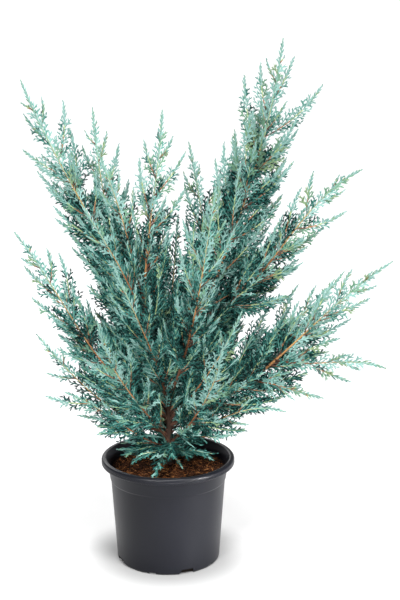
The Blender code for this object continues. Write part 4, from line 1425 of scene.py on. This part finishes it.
def make_soil():
    """The whole filling, spun like the pot, with lumps pushed up and down on its top."""
    profile = (
        (0.0, SOIL_CROWN, 0), (0.020, SOIL_CROWN, 0), (0.062, SOIL_MIDDLE, 0),
        (inner_radius(SOIL_EDGE) - 0.0004, SOIL_EDGE, 0), (inner_radius(0.145) - 0.0005, 0.145, 0),
        (inner_radius(FLOOR) - 0.0005, FLOOR + 0.0003, 0), (0.0, FLOOR + 0.0003, 0),
    )
    mesh = spun(profile, 64)
    top = [edge for edge in mesh.edges if min(vert.co.z for vert in edge.verts) > SOIL_SKIN]
    bmesh.ops.subdivide_edges(mesh, edges=top, cuts=5, use_grid_fill=True)
    for vert in mesh.verts:
        if vert.co.z > SOIL_TOP:
            edge = min(1.0, (inner_radius(SOIL_EDGE) - math.hypot(vert.co.x, vert.co.y)) / 0.01)
            spot = vert.co * 90
            vert.co.z += edge * (COARSE_LUMPS * noise.noise(spot) + FINE_LUMPS * noise.noise(spot * 2.6) - 0.0012)
    return mesh_data("potting_mix", mesh)


soil = piece("potting_mix_bed", make_soil(), [], ["potting_mix"])

# %% Soil finish
def bark_fibre():
    """Dark moist crumbs, lighter on the lumps."""
    material = plain_material("bark_fibre", (0.05, 0.022, 0.012), 0.9, 0.06)
    tree = material.node_tree
    lumps = noise_texture(tree, 140.0, 6.0)
    ramp(tree, lumps, "Base Color", (0.35, (0.006, 0.003, 0.002)), (0.5, (0.018, 0.008, 0.004)),
         (0.7, (0.056, 0.024, 0.012)))
    bump(tree, lumps, 1.0, 0.002)
    return material


soil.data.materials.append(bark_fibre())
soil.data.materials.append(plain_material("wet_mix", (0.006, 0.004, 0.003), 0.9, 0.06))
for face in soil.data.polygons:
    face.material_index = int(face.center.z < SOIL_SKIN)
print("soil's finishes:", len(soil.data.materials))

# %% Fibres and chips
FIBRES = 4200
FIBRE_RING = (0.008, 0.0925)  # their middles lie between these distances from the axis,
FIBRES_END = 0.0935  # and their ends within this one
FIBRE_SIZES = (0.003, 0.020)
FIBRE_WIDTHS = (0.0006, 0.0021)
FIBRE_FLATNESS = 0.6
FIBRE_FINISHES = [
    plain_material("dark_chip", (0.009, 0.004, 0.002), 0.85, 0.08),
    plain_material("brown_fibre", (0.038, 0.015, 0.007), 0.85, 0.08),
    plain_material("red_fibre", (0.120, 0.042, 0.014), 0.8, 0.08),
    plain_material("pale_fibre", (0.280, 0.116, 0.040), 0.8, 0.08),
]
FIBRE_ODDS = (0.30, 0.38, 0.22, 0.10)


def soil_height(radius):
    """How high the soil stands at a distance from the pot's axis."""
    return np.interp(radius, (0.0, 0.020, 0.062, 0.094), (SOIL_CROWN, SOIL_CROWN, SOIL_MIDDLE, SOIL_EDGE))


def make_fibres():
    """Slivers that lie every way on the soil, where both of their ends are inside the pot."""
    rng = np.random.default_rng(11)
    radius = np.sqrt(rng.uniform(FIBRE_RING[0]**2, FIBRE_RING[1]**2, FIBRES))
    turn = rng.uniform(0, math.tau, FIBRES)
    x, y = radius * np.cos(turn), radius * np.sin(turn)
    size = rng.gamma(2.2, 0.0032, FIBRES).clip(*FIBRE_SIZES)
    heading = rng.uniform(0, math.tau, FIBRES)
    lift = rng.normal(0.0, 0.22, FIBRES)
    aim = np.stack([np.cos(heading) * np.cos(lift), np.sin(heading) * np.cos(lift), np.sin(lift)], 1)
    middle = np.stack([x, y, soil_height(np.hypot(x, y)) + rng.uniform(-0.0006, 0.0014, FIBRES)], 1)
    ends = np.stack([middle - aim * size[:, None] / 2, middle + aim * size[:, None] / 2])
    kept = (np.hypot(ends[..., 0], ends[..., 1]) < FIBRES_END).all(0)
    kept &= (ends[..., 2] < POT_HEIGHT - 0.006).all(0) & (ends[..., 2] > SOIL_SKIN).all(0)
    root, aim, size = ends[0, kept], aim[kept], size[kept]
    up = np.broadcast_to(np.array([0.0, 0.0, 1.0]), aim.shape)
    width = rng.uniform(*FIBRE_WIDTHS, len(size))
    finish = rng.choice(len(FIBRE_ODDS), len(size), p=FIBRE_ODDS)
    return cord_mesh("fibres", root, aim, up, size, width, FIBRE_FLATNESS, finish)


piece("fibres_and_chips", make_fibres(), FIBRE_FINISHES, ())
